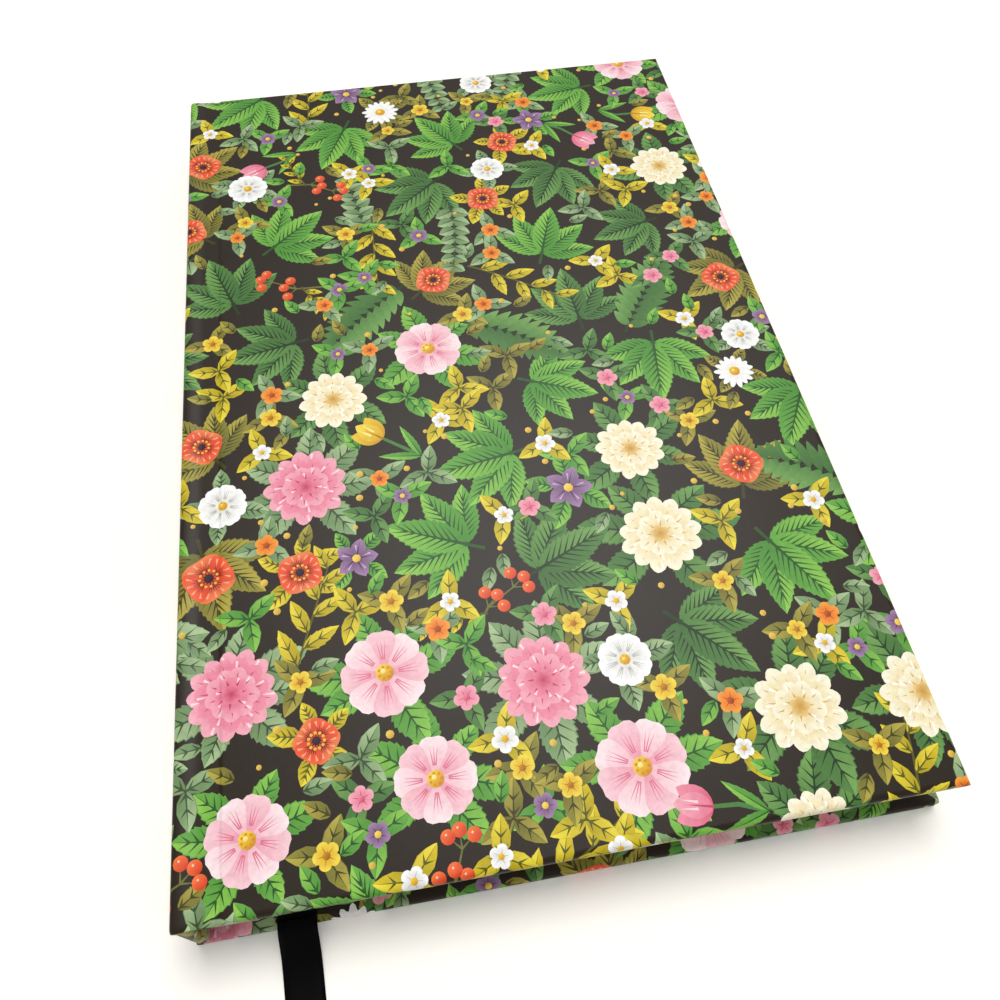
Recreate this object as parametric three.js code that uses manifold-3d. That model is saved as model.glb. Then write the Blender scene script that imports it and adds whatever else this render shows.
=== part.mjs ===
// Case-bound notebook with a sewn block and a ribbon bookmark, closed, front cover up.
// Millimetres. +Z is up, +Y points to the head and -X to the spine.
// Origin: middle of the case's footprint, on the surface that the back cover lies on.
// Inside the book group, x is measured from the outer face of the spine.
import * as THREE from 'three';
import { mergeVertices } from 'three/addons/utils/BufferGeometryUtils.js';
import Module from 'manifold-3d';

const wasm = await Module();
wasm.setup();

// Sheets and boards
const coverPaper = 0.3; // printed, laminated sheet round the boards
const boardThickness = 2.5;
const spineBoardThickness = 2;
const endpaper = 0.18;
const leafThickness = 0.08;
const mullThickness = 0.25;
const mullFlapThickness = 0.15;
const linerThickness = 0.2;
const threadDiameter = 0.4;
const ribbonThickness = 0.22;
const ribbonWidth = 7;

// Room between sheets
const glueLine = 0.02;
const pageAir = 0.02; // between neighbouring signatures of the closed block
const splitAir = 0.1; // where the block parts into its front and back half
const coverAir = 0.06; // between the front pastedown and its flyleaf
const ribbonRoom = 0.3; // between the back pastedown and its flyleaf, where the ribbon lies
const spineHollow = 0.3; // between the spine board and the block's lining
const windowClearance = 0.1; // between a turn-in and the sheet let in beside it

// Block
const pageWidth = 132.5;
const pageHeight = 208;
const signatureCount = 12;
const leavesPerSignature = 8;
const mullInset = 12; // the mull stops this far inside the pages at head and tail
const linerInset = 2;
const threadStations = 5;
const stationSpacing = pageHeight / threadStations;
const headbandRadius = 0.8;
const headbandTape = 8; // height of the tape that is glued to the back
const headbandLap = 0.35; // the bead's centre lies this far in front of the folds
const headbandLift = 0.1; // between the bead and the pages' edge

// Case
const endSquare = 3.2; // boards beyond the pages at head and tail
const foreSquare = 3.35;
const boardSetback = 8.6; // spine's outer face to the near edge of the boards
const turnIn = 15;
const grooveDepth = 0.3;
const grooveStart = 1.4;
const arrisRadius = 1.1; // rounding of the wrapped edges
const spineInset = 1.2; // spine board's long edges, inside the case's two faces
const coverShift = 0.8; // front cover towards the head and back cover towards the tail
const pastedownMargin = 3;
const mullFlap = 25;

// Ribbon, x from the spine's outer face
const ribbonHeadX = 9;
const ribbonTailX = 18.3;
const ribbonAnchor = 12; // length glued to the back of the block at the head
const ribbonGap = 0.5; // between the held run and the free tail
const ribbonLie = 0.05; // air under the ribbon on the table
const ribbonSteps = 40;

// Places that follow from the sizes
const signatureThickness = leavesPerSignature * leafThickness;
const halfCount = signatureCount / 2;
const linerX = coverPaper * 2 + glueLine * 2 + spineBoardThickness + spineHollow;
const mullX = linerX + linerThickness + glueLine;
const threadX = mullX + mullThickness + glueLine;
const foldX = threadX + threadDiameter + glueLine;
const caseWidth = foldX + pageWidth + foreSquare + coverPaper;
const caseHeight = pageHeight + 2 * (endSquare + coverPaper);
const boardZ = coverPaper + glueLine;
const turnInZ = boardZ + boardThickness + glueLine;
const wrappedThickness = turnInZ + coverPaper;
const pastedownZ = wrappedThickness + glueLine;
const coverStack = pastedownZ + endpaper;
const backFlyleafZ = coverStack + ribbonRoom;
const blockZ = backFlyleafZ + endpaper + pageAir;
const blockThickness = signatureCount * signatureThickness
  + (signatureCount - 2) * pageAir + splitAir;
const frontFlyleafZ = blockZ + blockThickness + pageAir;
const blockTop = frontFlyleafZ + endpaper;
const caseThickness = blockTop + coverAir + coverStack;
const overshoot = 1; // how far a cutting body passes the faces that it cuts

function solid(geometry) {
  const bare = geometry.clone();
  bare.deleteAttribute('normal');
  bare.deleteAttribute('uv');
  const merged = mergeVertices(bare, 1e-4);
  return new wasm.Manifold(new wasm.Mesh({
    numProp: 3,
    vertProperties: new Float32Array(merged.attributes.position.array),
    triVerts: new Uint32Array(merged.index.array),
  }));
}

function geometryOf(manifold) {
  const mesh = manifold.getMesh();
  const geometry = new THREE.BufferGeometry();
  geometry.setAttribute('position', new THREE.BufferAttribute(mesh.vertProperties, 3));
  geometry.setIndex(new THREE.BufferAttribute(mesh.triVerts, 1));
  const faceted = geometry.toNonIndexed();
  faceted.computeVertexNormals();
  return faceted;
}

// A box between two corners.
function block([x0, y0, z0], [x1, y1, z1]) {
  return new THREE.BoxGeometry(x1 - x0, y1 - y0, z1 - z0)
    .translate((x0 + x1) / 2, (y0 + y1) / 2, (z0 + z1) / 2);
}

// A box whose edges are all rounded, its corners mitred.
function roundedSlab([x0, y0, z0], [x1, y1, z1], radius) {
  const outline = new THREE.Shape([
    new THREE.Vector2(x0, y0), new THREE.Vector2(x1, y0),
    new THREE.Vector2(x1, y1), new THREE.Vector2(x0, y1),
  ]);
  return new THREE.ExtrudeGeometry(outline, {
    depth: z1 - z0 - 2 * radius,
    bevelThickness: radius,
    bevelSize: radius,
    bevelOffset: -radius,
    bevelSegments: 4,
  }).translate(0, 0, z0 + radius);
}

// A section drawn in x and z, swept along y.
function sweepAlongY(section, y0, y1) {
  return new THREE.ExtrudeGeometry(section, { depth: y1 - y0, bevelEnabled: false, curveSegments: 8 })
    .rotateX(Math.PI / 2)
    .translate(0, y1, 0);
}

// The front cover is the back cover turned over about the spine-to-fore-edge line.
function turnedOver(geometry) {
  return geometry.scale(1, -1, -1).translate(0, 0, caseThickness);
}

// Section of the paper across the joint: flat beside the spine, a shallow groove, flat on the board.
function jointSection(thickness) {
  const grooveEnd = boardSetback - glueLine;
  const middle = (grooveStart + grooveEnd) / 2;
  const section = new THREE.Shape();
  section.moveTo(coverPaper, 0);
  section.lineTo(grooveStart, 0);
  section.quadraticCurveTo(middle, 2 * grooveDepth, grooveEnd, 0);
  section.lineTo(boardSetback + overshoot, 0);
  section.lineTo(boardSetback + overshoot, coverPaper);
  section.lineTo(grooveEnd, thickness);
  section.quadraticCurveTo(middle, 2 * grooveDepth + thickness, grooveStart, thickness);
  section.lineTo(coverPaper, thickness);
  section.closePath();
  return section;
}

// Paper round the back board: outer sheet, three wrapped edges and the turn-ins inside.
function coverPaperSolid() {
  const half = caseHeight / 2;
  const inside = half - coverPaper;
  const outer = solid(roundedSlab([-turnIn, -half, 0], [caseWidth, half, wrappedThickness], arrisRadius));
  const hollow = solid(roundedSlab(
    [-turnIn - overshoot, -inside, coverPaper],
    [caseWidth - coverPaper, inside, wrappedThickness - coverPaper],
    arrisRadius - coverPaper,
  ));
  const spineSide = solid(block(
    [-turnIn - 2 * overshoot, -half - overshoot, -overshoot],
    [boardSetback, half + overshoot, wrappedThickness + overshoot],
  ));
  const window = solid(block(
    [boardSetback - overshoot, turnIn - half, turnInZ - glueLine / 2],
    [caseWidth - turnIn, half - turnIn, wrappedThickness + overshoot],
  ));
  const sheet = solid(sweepAlongY(jointSection(coverPaper), -half, half));
  const headFold = solid(sweepAlongY(jointSection(2 * coverPaper), half - turnIn, half));
  const tailFold = solid(sweepAlongY(jointSection(2 * coverPaper), -half, turnIn - half));
  const board = solid(boardGeometry());
  return outer.subtract(hollow).subtract(spineSide).subtract(window)
    .add(sheet).add(headFold).add(tailFold).subtract(board);
}

function boardGeometry() {
  const inside = caseHeight / 2 - coverPaper - glueLine;
  return roundedSlab(
    [boardSetback + glueLine, -inside, boardZ],
    [caseWidth - coverPaper - glueLine, inside, boardZ + boardThickness],
    arrisRadius - coverPaper,
  );
}

// Endpaper glued to the board: it lies on the turn-ins and steps down between them.
function pastedownSolid() {
  const half = caseHeight / 2;
  const low = boardZ + boardThickness + 2 * glueLine + mullFlapThickness;
  const windowX = caseWidth - turnIn - windowClearance;
  const windowY = half - turnIn - windowClearance;
  const sheet = solid(block(
    [foldX, pastedownMargin - half, pastedownZ],
    [caseWidth - pastedownMargin, half - pastedownMargin, coverStack],
  ));
  const well = solid(block([boardSetback + windowClearance, -windowY, low], [windowX, windowY, coverStack]));
  const dip = solid(block(
    [boardSetback + windowClearance + endpaper, endpaper - windowY, low + endpaper],
    [windowX - endpaper, windowY - endpaper, coverStack + overshoot],
  ));
  return sheet.add(well).subtract(dip);
}

function mullFlapGeometry() {
  const half = pageHeight / 2 - mullInset;
  const start = boardSetback + windowClearance;
  const z = boardZ + boardThickness + glueLine;
  return block([start, -half, z], [start + mullFlap, half, z + mullFlapThickness]);
}

// Paper on the spine: outer sheet, and the fold over each end of the spine board.
function spinePaperSolid() {
  const half = caseHeight / 2;
  const depth = 2 * (coverPaper + glueLine) + spineBoardThickness;
  const low = spineInset;
  const high = caseThickness - spineInset;
  const outer = solid(block([0, -half, coverPaper], [coverPaper, half, caseThickness - coverPaper]));
  const fold = (y0, y1) => solid(block([0, y0, low], [depth, y1, high]));
  const core = solid(block(
    [coverPaper, coverPaper - half, low - overshoot],
    [depth - coverPaper, half - coverPaper, high + overshoot],
  ));
  const folds = fold(half - turnIn, half).add(fold(-half, turnIn - half)).subtract(core);
  return outer.add(folds);
}

function spineBoardGeometry() {
  const inside = caseHeight / 2 - coverPaper - glueLine;
  const x = coverPaper + glueLine;
  return block([x, -inside, spineInset], [x + spineBoardThickness, inside, caseThickness - spineInset]);
}

// Folded section: round at the fold, square at the fore-edge.
function signatureGeometry(z) {
  const r = signatureThickness / 2;
  const section = new THREE.Shape();
  section.moveTo(foldX + r, z);
  section.lineTo(foldX + pageWidth, z);
  section.lineTo(foldX + pageWidth, z + signatureThickness);
  section.lineTo(foldX + r, z + signatureThickness);
  section.absarc(foldX + r, z + r, r, Math.PI / 2, 3 * Math.PI / 2, false);
  return sweepAlongY(section, -pageHeight / 2, pageHeight / 2);
}

function flyleafGeometry(z) {
  return block([foldX, -pageHeight / 2, z], [foldX + pageWidth, pageHeight / 2, z + endpaper]);
}

// Lining glued to the back of the block, over its whole thickness.
function liningGeometry(x, thickness, inset) {
  const half = pageHeight / 2 - inset;
  return block([x, -half, backFlyleafZ], [x + thickness, half, blockTop]);
}

function threadGeometry(station) {
  const length = blockThickness;
  const y = (station - (threadStations - 1) / 2) * stationSpacing;
  return new THREE.CylinderGeometry(threadDiameter / 2, threadDiameter / 2, length, 10)
    .rotateX(Math.PI / 2)
    .translate(threadX + threadDiameter / 2, y, blockZ + length / 2);
}

// Band at the head (side 1) or tail (side -1): a bead on the pages' edge and its glued tape.
function headbandSolid(side) {
  const height = blockTop - backFlyleafZ;
  const beadY = pageHeight / 2 + headbandLift + headbandRadius;
  const bead = new THREE.CylinderGeometry(headbandRadius, headbandRadius, height, 20)
    .rotateX(Math.PI / 2)
    .translate(foldX + headbandLap, side * beadY, backFlyleafZ + height / 2);
  const low = Math.min(side * (beadY - headbandTape), side * beadY);
  const tape = block(
    [mullX, low, backFlyleafZ],
    [mullX + mullThickness, low + headbandTape, blockTop],
  );
  const lap = block(
    [mullX, side * beadY - headbandLift, backFlyleafZ],
    [foldX + headbandLap, side * beadY + headbandLift, blockTop],
  );
  return solid(bead).add(solid(tape)).add(solid(lap));
}

// Flat ribbon along a curve, lying on its broad side.
function ribbonGeometry(curve, steps) {
  const positions = [];
  const index = [];
  const up = new THREE.Vector3(0, 0, 1);
  for (let i = 0; i <= steps; i += 1) {
    const point = curve.getPointAt(i / steps);
    const along = curve.getTangentAt(i / steps);
    const across = new THREE.Vector3().crossVectors(along, up).normalize();
    const lift = new THREE.Vector3().crossVectors(across, along).normalize();
    across.multiplyScalar(ribbonWidth / 2);
    lift.multiplyScalar(ribbonThickness / 2);
    for (const [a, b] of [[-1, 1], [1, 1], [1, -1], [-1, -1]]) {
      const corner = point.clone().addScaledVector(across, a).addScaledVector(lift, b);
      positions.push(corner.x, corner.y, corner.z);
    }
  }
  for (let i = 0; i < steps; i += 1) {
    for (let side = 0; side < 4; side += 1) {
      const a = 4 * i + side;
      const b = 4 * i + (side + 1) % 4;
      index.push(a, b, b + 4, a, b + 4, a + 4);
    }
  }
  const last = 4 * steps;
  index.push(0, 2, 1, 0, 3, 2, last, last + 1, last + 2, last, last + 2, last + 3);
  const geometry = new THREE.BufferGeometry();
  geometry.setAttribute('position', new THREE.Float32BufferAttribute(positions, 3));
  geometry.setIndex(index);
  geometry.computeVertexNormals();
  return geometry;
}

const ribbonRestZ = coverStack + glueLine + ribbonThickness / 2;
const tailEdge = -caseHeight / 2 - coverShift;
const tableZ = ribbonThickness / 2 + ribbonLie;

// Run between the back pastedown and its flyleaf, from the spine's head to the tail edge.
const ribbonRun = new THREE.LineCurve3(
  new THREE.Vector3(ribbonHeadX, pageHeight / 2, ribbonRestZ),
  new THREE.Vector3(ribbonTailX, tailEdge + arrisRadius + ribbonGap, ribbonRestZ),
);

// Free tail: over the back board's edge, down to the table, and on in a slack curve.
// Each point gives the sideways drift, the distance past the tail edge and the height.
const ribbonTailRoute = [
  [0, -arrisRadius, ribbonRestZ],
  [0, 0.4, ribbonRestZ - 0.05],
  [0, 1.5, 2.95],
  [0, 2.9, 2.1],
  [0.02, 4.5, 1.3],
  [0.05, 6.5, 0.7],
  [0.1, 8.9, 0.32],
  [0.2, 11.7, tableZ],
  [0.5, 17, tableZ],
  [1.3, 24, tableZ],
  [2.7, 32, tableZ],
  [4.6, 40.5, tableZ],
  [6.4, 49, tableZ],
  [7.7, 58, tableZ],
  [8.2, 67, tableZ],
  [7.8, 75, tableZ],
];
const ribbonTail = new THREE.CatmullRomCurve3(ribbonTailRoute.map(
  ([drift, past, z]) => new THREE.Vector3(ribbonTailX + drift, tailEdge - past, z),
));

function ribbonAnchorGeometry() {
  const middle = caseThickness / 2;
  const top = pageHeight / 2;
  return block(
    [threadX + glueLine, top - ribbonAnchor, middle - ribbonWidth / 2],
    [threadX + glueLine + ribbonThickness, top, middle + ribbonWidth / 2],
  );
}

const finishes = {
  print: new THREE.MeshStandardMaterial({ color: 0x423a32, roughness: 0.35, metalness: 0 }),
  board: new THREE.MeshStandardMaterial({ color: 0x8d8478, roughness: 0.95, metalness: 0 }),
  endpaper: new THREE.MeshStandardMaterial({ color: 0xf3ecdc, roughness: 0.85, metalness: 0 }),
  page: new THREE.MeshStandardMaterial({ color: 0xf6f1e3, roughness: 0.9, metalness: 0 }),
  cloth: new THREE.MeshStandardMaterial({ color: 0xe6dfce, roughness: 1, metalness: 0 }),
  kraft: new THREE.MeshStandardMaterial({ color: 0xb08a5a, roughness: 0.9, metalness: 0 }),
  thread: new THREE.MeshStandardMaterial({ color: 0xf2efe6, roughness: 0.8, metalness: 0 }),
  headband: new THREE.MeshStandardMaterial({ color: 0x1c1b1d, roughness: 0.6, metalness: 0 }),
  ribbon: new THREE.MeshStandardMaterial({ color: 0x0d0d0f, roughness: 0.4, metalness: 0 }),
};

const book = new THREE.Group();
book.position.x = -caseWidth / 2;

function place(name, geometry, finish, y = 0) {
  const mesh = new THREE.Mesh(geometry, finishes[finish]);
  mesh.name = name;
  mesh.position.y = y;
  book.add(mesh);
}

function addCover(side, finish, shift) {
  place(`${side}_board`, finish(boardGeometry()), 'board', shift);
  place(`${side}_cover_paper`, finish(geometryOf(coverPaperSolid())), 'print', shift);
  place(`${side}_pastedown`, finish(geometryOf(pastedownSolid())), 'endpaper', shift);
  place(`${side}_mull_flap`, finish(mullFlapGeometry()), 'cloth', shift);
}

function addSpine() {
  place('spine_board', spineBoardGeometry(), 'board');
  place('spine_cover_paper', geometryOf(spinePaperSolid()), 'print');
  place('spine_liner', liningGeometry(linerX, linerThickness, linerInset), 'kraft');
  place('spine_mull', liningGeometry(mullX, mullThickness, mullInset), 'cloth');
  place('headband', geometryOf(headbandSolid(1)), 'headband');
  place('tailband', geometryOf(headbandSolid(-1)), 'headband');
  for (let station = 0; station < threadStations; station += 1) {
    place(`sewing_thread_${station + 1}`, threadGeometry(station), 'thread');
  }
}

// Signatures are numbered from the front cover down.
function addBlock() {
  place('front_flyleaf', flyleafGeometry(frontFlyleafZ), 'endpaper');
  place('back_flyleaf', flyleafGeometry(backFlyleafZ), 'endpaper');
  for (let i = 0; i < signatureCount; i += 1) {
    const fromBottom = signatureCount - 1 - i;
    const parted = i < halfCount ? splitAir - pageAir : 0;
    const z = blockZ + fromBottom * (signatureThickness + pageAir) + parted;
    place(`signature_${String(i + 1).padStart(2, '0')}`, signatureGeometry(z), 'page');
  }
}

function addRibbon() {
  place('ribbon_anchor', ribbonAnchorGeometry(), 'ribbon');
  place('ribbon_run', ribbonGeometry(ribbonRun, 1), 'ribbon');
  place('ribbon_tail', ribbonGeometry(ribbonTail, ribbonSteps), 'ribbon');
}

addCover('back', (geometry) => geometry, -coverShift);
addCover('front', turnedOver, coverShift);
addSpine();
addBlock();
addRibbon();

export default book;
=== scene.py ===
"""Case-bound notebook: printed laminated case, sewn block, headbands and a ribbon marker."""

import logging
import math
import random
from collections.abc import Callable, Sequence
from dataclasses import dataclass, field
from enum import Enum

import bmesh
import bpy
import numpy as np
from mathutils import Matrix, Vector
from mathutils.bvhtree import BVHTree
from mathutils.geometry import delaunay_2d_cdt


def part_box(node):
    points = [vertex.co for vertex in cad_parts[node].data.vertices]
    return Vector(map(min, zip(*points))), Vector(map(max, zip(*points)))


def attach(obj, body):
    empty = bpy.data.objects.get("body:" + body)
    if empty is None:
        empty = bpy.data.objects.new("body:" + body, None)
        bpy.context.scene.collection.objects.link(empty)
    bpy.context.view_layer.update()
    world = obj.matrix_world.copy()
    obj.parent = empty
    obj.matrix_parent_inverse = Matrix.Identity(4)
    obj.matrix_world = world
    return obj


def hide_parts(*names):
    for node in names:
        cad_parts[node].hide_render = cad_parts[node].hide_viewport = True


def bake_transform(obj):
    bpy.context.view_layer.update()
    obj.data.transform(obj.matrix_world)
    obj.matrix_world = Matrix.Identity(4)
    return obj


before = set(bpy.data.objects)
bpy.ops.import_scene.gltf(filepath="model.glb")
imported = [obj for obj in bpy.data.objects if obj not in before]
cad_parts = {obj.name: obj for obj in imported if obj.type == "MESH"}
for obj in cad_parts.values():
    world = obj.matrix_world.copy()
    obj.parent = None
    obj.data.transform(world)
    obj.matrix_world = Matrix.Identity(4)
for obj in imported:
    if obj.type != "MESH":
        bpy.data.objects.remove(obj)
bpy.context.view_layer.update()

log = logging.getLogger("notebook")
MM = 0.001
Point = tuple[float, float]


def linear(code: str) -> tuple[float, float, float]:
    """Turns an sRGB hex value into linear light.

    Args:
        code: six hex digits after a hash sign.

    Returns:
        Red, green and blue, 0 to 1.
    """
    parts = [int(code[i : i + 2], 16) / 255 for i in (1, 3, 5)]
    return tuple(c / 12.92 if c <= 0.04045 else ((c + 0.055) / 1.055) ** 2.4 for c in parts)


def add_node(
    tree: bpy.types.NodeTree, kind: str, settings: dict | None = None, inputs: dict | None = None
) -> bpy.types.Node:
    """Adds a node, sets it up and links it.

    Args:
        tree: the material's or world's tree.
        kind: the node's type.
        settings: properties of the node itself.
        inputs: socket name or number to a value, or to the output that feeds it.

    Returns:
        The new node.
    """
    node = tree.nodes.new(kind)
    for key, value in (settings or {}).items():
        setattr(node, key, value)
    for key, value in (inputs or {}).items():
        if isinstance(value, bpy.types.NodeSocket):
            tree.links.new(value, node.inputs[key])
        else:
            node.inputs[key].default_value = value
    return node


@dataclass(frozen=True)
class Stock:
    """A fibrous sheet or board: paper, greyboard, kraft or gauze.

    The mottle is the cloudiness of the pulp, the tooth its felt-side bump.
    """

    name: str
    shade: str
    dark: str
    mottle_mm: float = 2.2
    tooth_mm: float = 0.25
    tooth: float = 0.15
    roughness: float = 0.85

    def material(self) -> bpy.types.Material:
        """Builds the sheet's material.

        Returns:
            The material.
        """
        mat, tree, shader = blank_material(self.name)
        place = add_node(tree, "ShaderNodeTexCoord").outputs["Object"]
        cloud = add_node(
            tree,
            "ShaderNodeTexNoise",
            inputs={"Vector": place, "Scale": 1 / (self.mottle_mm * MM), "Detail": 4.0, "Roughness": 0.65},
        )
        mix = add_node(
            tree,
            "ShaderNodeMix",
            {"data_type": "RGBA"},
            {0: cloud.outputs["Fac"], 6: (*linear(self.dark), 1), 7: (*linear(self.shade), 1)},
        )
        fibre = add_node(
            tree,
            "ShaderNodeTexNoise",
            inputs={"Vector": place, "Scale": 1 / (self.tooth_mm * MM), "Detail": 2.0},
        )
        bump = add_node(
            tree,
            "ShaderNodeBump",
            inputs={"Height": fibre.outputs["Fac"], "Strength": self.tooth, "Distance": 0.03 * MM},
        )
        tree.links.new(mix.outputs[2], shader.inputs["Base Color"])
        tree.links.new(bump.outputs["Normal"], shader.inputs["Normal"])
        shader.inputs["Roughness"].default_value = self.roughness
        shader.inputs["Specular IOR Level"].default_value = 0.35
        return mat


@dataclass(frozen=True)
class LaminatedPrint:
    """Offset-printed paper under satin film.

    The inks come from the sheet's own colour attribute. The film gives one even satin gloss, and
    the board under it a very slight unevenness that breaks the reflections.
    """

    name: str = "laminated_offset_print"
    attribute: str = "ink"
    brush_mm: float = 1.1
    peel_mm: float = 1.6
    roughness: float = 0.38

    def material(self) -> bpy.types.Material:
        """Builds the laminate.

        Returns:
            The material.
        """
        mat, tree, shader = blank_material(self.name)
        place = add_node(tree, "ShaderNodeTexCoord").outputs["Object"]
        ink = add_node(tree, "ShaderNodeVertexColor", {"layer_name": self.attribute})
        brush = add_node(
            tree,
            "ShaderNodeTexNoise",
            inputs={"Vector": place, "Scale": 1 / (self.brush_mm * MM), "Detail": 3.0, "Roughness": 0.6},
        )
        level = add_node(
            tree,
            "ShaderNodeMapRange",
            inputs={"Value": brush.outputs["Fac"], 1: 0.3, 2: 0.7, 3: 0.9, 4: 1.08},
        )
        worked = add_node(
            tree,
            "ShaderNodeMix",
            {"data_type": "RGBA", "blend_type": "MULTIPLY"},
            {0: 1.0, 6: ink.outputs["Color"], 7: level.outputs["Result"]},
        )
        peel = add_node(
            tree,
            "ShaderNodeTexNoise",
            inputs={"Vector": place, "Scale": 1 / (self.peel_mm * MM), "Detail": 2.0},
        )
        bump = add_node(
            tree,
            "ShaderNodeBump",
            inputs={"Height": peel.outputs["Fac"], "Strength": 0.12, "Distance": 0.03 * MM},
        )
        tree.links.new(worked.outputs[2], shader.inputs["Base Color"])
        tree.links.new(bump.outputs["Normal"], shader.inputs["Normal"])
        shader.inputs["Roughness"].default_value = self.roughness
        shader.inputs["Specular IOR Level"].default_value = 0.18
        return mat


@dataclass(frozen=True)
class RuledPage:
    """Uncoated cream writing paper with pale offset rules across it.

    The pulp's faint clouds keep a large page from looking like plastic, and the rules are thin
    and weak enough to sink into it.
    """

    name: str = "ruled_writing_paper"
    shade: str = "#f5efdf"
    dark: str = "#efe7d4"
    rule: str = "#b4bcc2"
    cloud_mm: float = 2.222
    pitch_mm: float = 7.0
    rule_mm: float = 0.22

    def material(self) -> bpy.types.Material:
        """Builds the page.

        Returns:
            The material.
        """
        mat, tree, shader = blank_material(self.name)
        place = add_node(tree, "ShaderNodeTexCoord").outputs["Object"]
        split = add_node(tree, "ShaderNodeSeparateXYZ", inputs={0: place})
        rows = add_node(
            tree,
            "ShaderNodeMath",
            {"operation": "DIVIDE"},
            {0: split.outputs["Y"], 1: self.pitch_mm * MM},
        )
        fraction = add_node(tree, "ShaderNodeMath", {"operation": "FRACT"}, {0: rows.outputs[0]})
        line = add_node(
            tree,
            "ShaderNodeMath",
            {"operation": "LESS_THAN"},
            {0: fraction.outputs[0], 1: self.rule_mm / self.pitch_mm},
        )
        cloud = add_node(
            tree,
            "ShaderNodeTexNoise",
            inputs={"Vector": place, "Scale": 1 / (self.cloud_mm * MM), "Detail": 3.0},
        )
        pulp = add_node(
            tree,
            "ShaderNodeMix",
            {"data_type": "RGBA"},
            {0: cloud.outputs["Fac"], 6: (*linear(self.dark), 1), 7: (*linear(self.shade), 1)},
        )
        ruled = add_node(
            tree,
            "ShaderNodeMix",
            {"data_type": "RGBA"},
            {0: line.outputs[0], 6: pulp.outputs[2], 7: (*linear(self.rule), 1)},
        )
        tree.links.new(ruled.outputs[2], shader.inputs["Base Color"])
        shader.inputs["Roughness"].default_value = 0.88
        shader.inputs["Specular IOR Level"].default_value = 0.3
        return mat


@dataclass(frozen=True)
class Weave:
    """A plain-woven cloth seen close: gauze, headband cotton or satin ribbon.

    Warp and weft are two sine rows in the cloth's own plane. Where both run high the bump rises and
    the colour is light; where they run low it is darker, painted shade in the hollows between threads.
    """

    name: str
    shade: str
    dark: str
    warp_mm: float
    weft_mm: float
    along: str = "X"
    across: str = "Y"
    roughness: float = 0.8
    bump: float = 0.5
    specular: float = 0.4

    def material(self) -> bpy.types.Material:
        """Builds the cloth.

        Returns:
            The material.
        """
        mat, tree, shader = blank_material(self.name)
        place = add_node(tree, "ShaderNodeTexCoord").outputs["Object"]
        split = add_node(tree, "ShaderNodeSeparateXYZ", inputs={0: place})
        rows = []
        for axis, pitch in ((self.along, self.warp_mm), (self.across, self.weft_mm)):
            turns = add_node(
                tree,
                "ShaderNodeMath",
                {"operation": "MULTIPLY"},
                {0: split.outputs[axis], 1: 2 * math.pi / (pitch * MM)},
            )
            rows.append(add_node(tree, "ShaderNodeMath", {"operation": "SINE"}, {0: turns.outputs[0]}))
        cross = add_node(
            tree,
            "ShaderNodeMath",
            {"operation": "ADD"},
            {0: rows[0].outputs[0], 1: rows[1].outputs[0]},
        )
        height = add_node(
            tree,
            "ShaderNodeMapRange",
            inputs={"Value": cross.outputs[0], 1: -2.0, 2: 2.0, 3: 0.0, 4: 1.0},
        )
        # The colour follows the bump's height: painted shade where the cloth lies low.
        mix = add_node(
            tree,
            "ShaderNodeMix",
            {"data_type": "RGBA"},
            {0: height.outputs["Result"], 6: (*linear(self.dark), 1), 7: (*linear(self.shade), 1)},
        )
        raised = add_node(
            tree,
            "ShaderNodeBump",
            inputs={"Height": height.outputs["Result"], "Strength": self.bump, "Distance": 0.05 * MM},
        )
        tree.links.new(mix.outputs[2], shader.inputs["Base Color"])
        tree.links.new(raised.outputs["Normal"], shader.inputs["Normal"])
        shader.inputs["Roughness"].default_value = self.roughness
        shader.inputs["Specular IOR Level"].default_value = self.specular
        return mat


def blank_material(name: str) -> tuple[bpy.types.Material, bpy.types.NodeTree, bpy.types.Node]:
    """Makes a material that holds only its shader and output.

    Args:
        name: the material's name.

    Returns:
        The material, its tree and its Principled shader.
    """
    mat = bpy.data.materials.new(name)
    mat.use_nodes = True
    tree = mat.node_tree
    tree.nodes.clear()
    shader = add_node(tree, "ShaderNodeBsdfPrincipled")
    add_node(tree, "ShaderNodeOutputMaterial", inputs={"Surface": shader.outputs["BSDF"]})
    return mat, tree, shader


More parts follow.
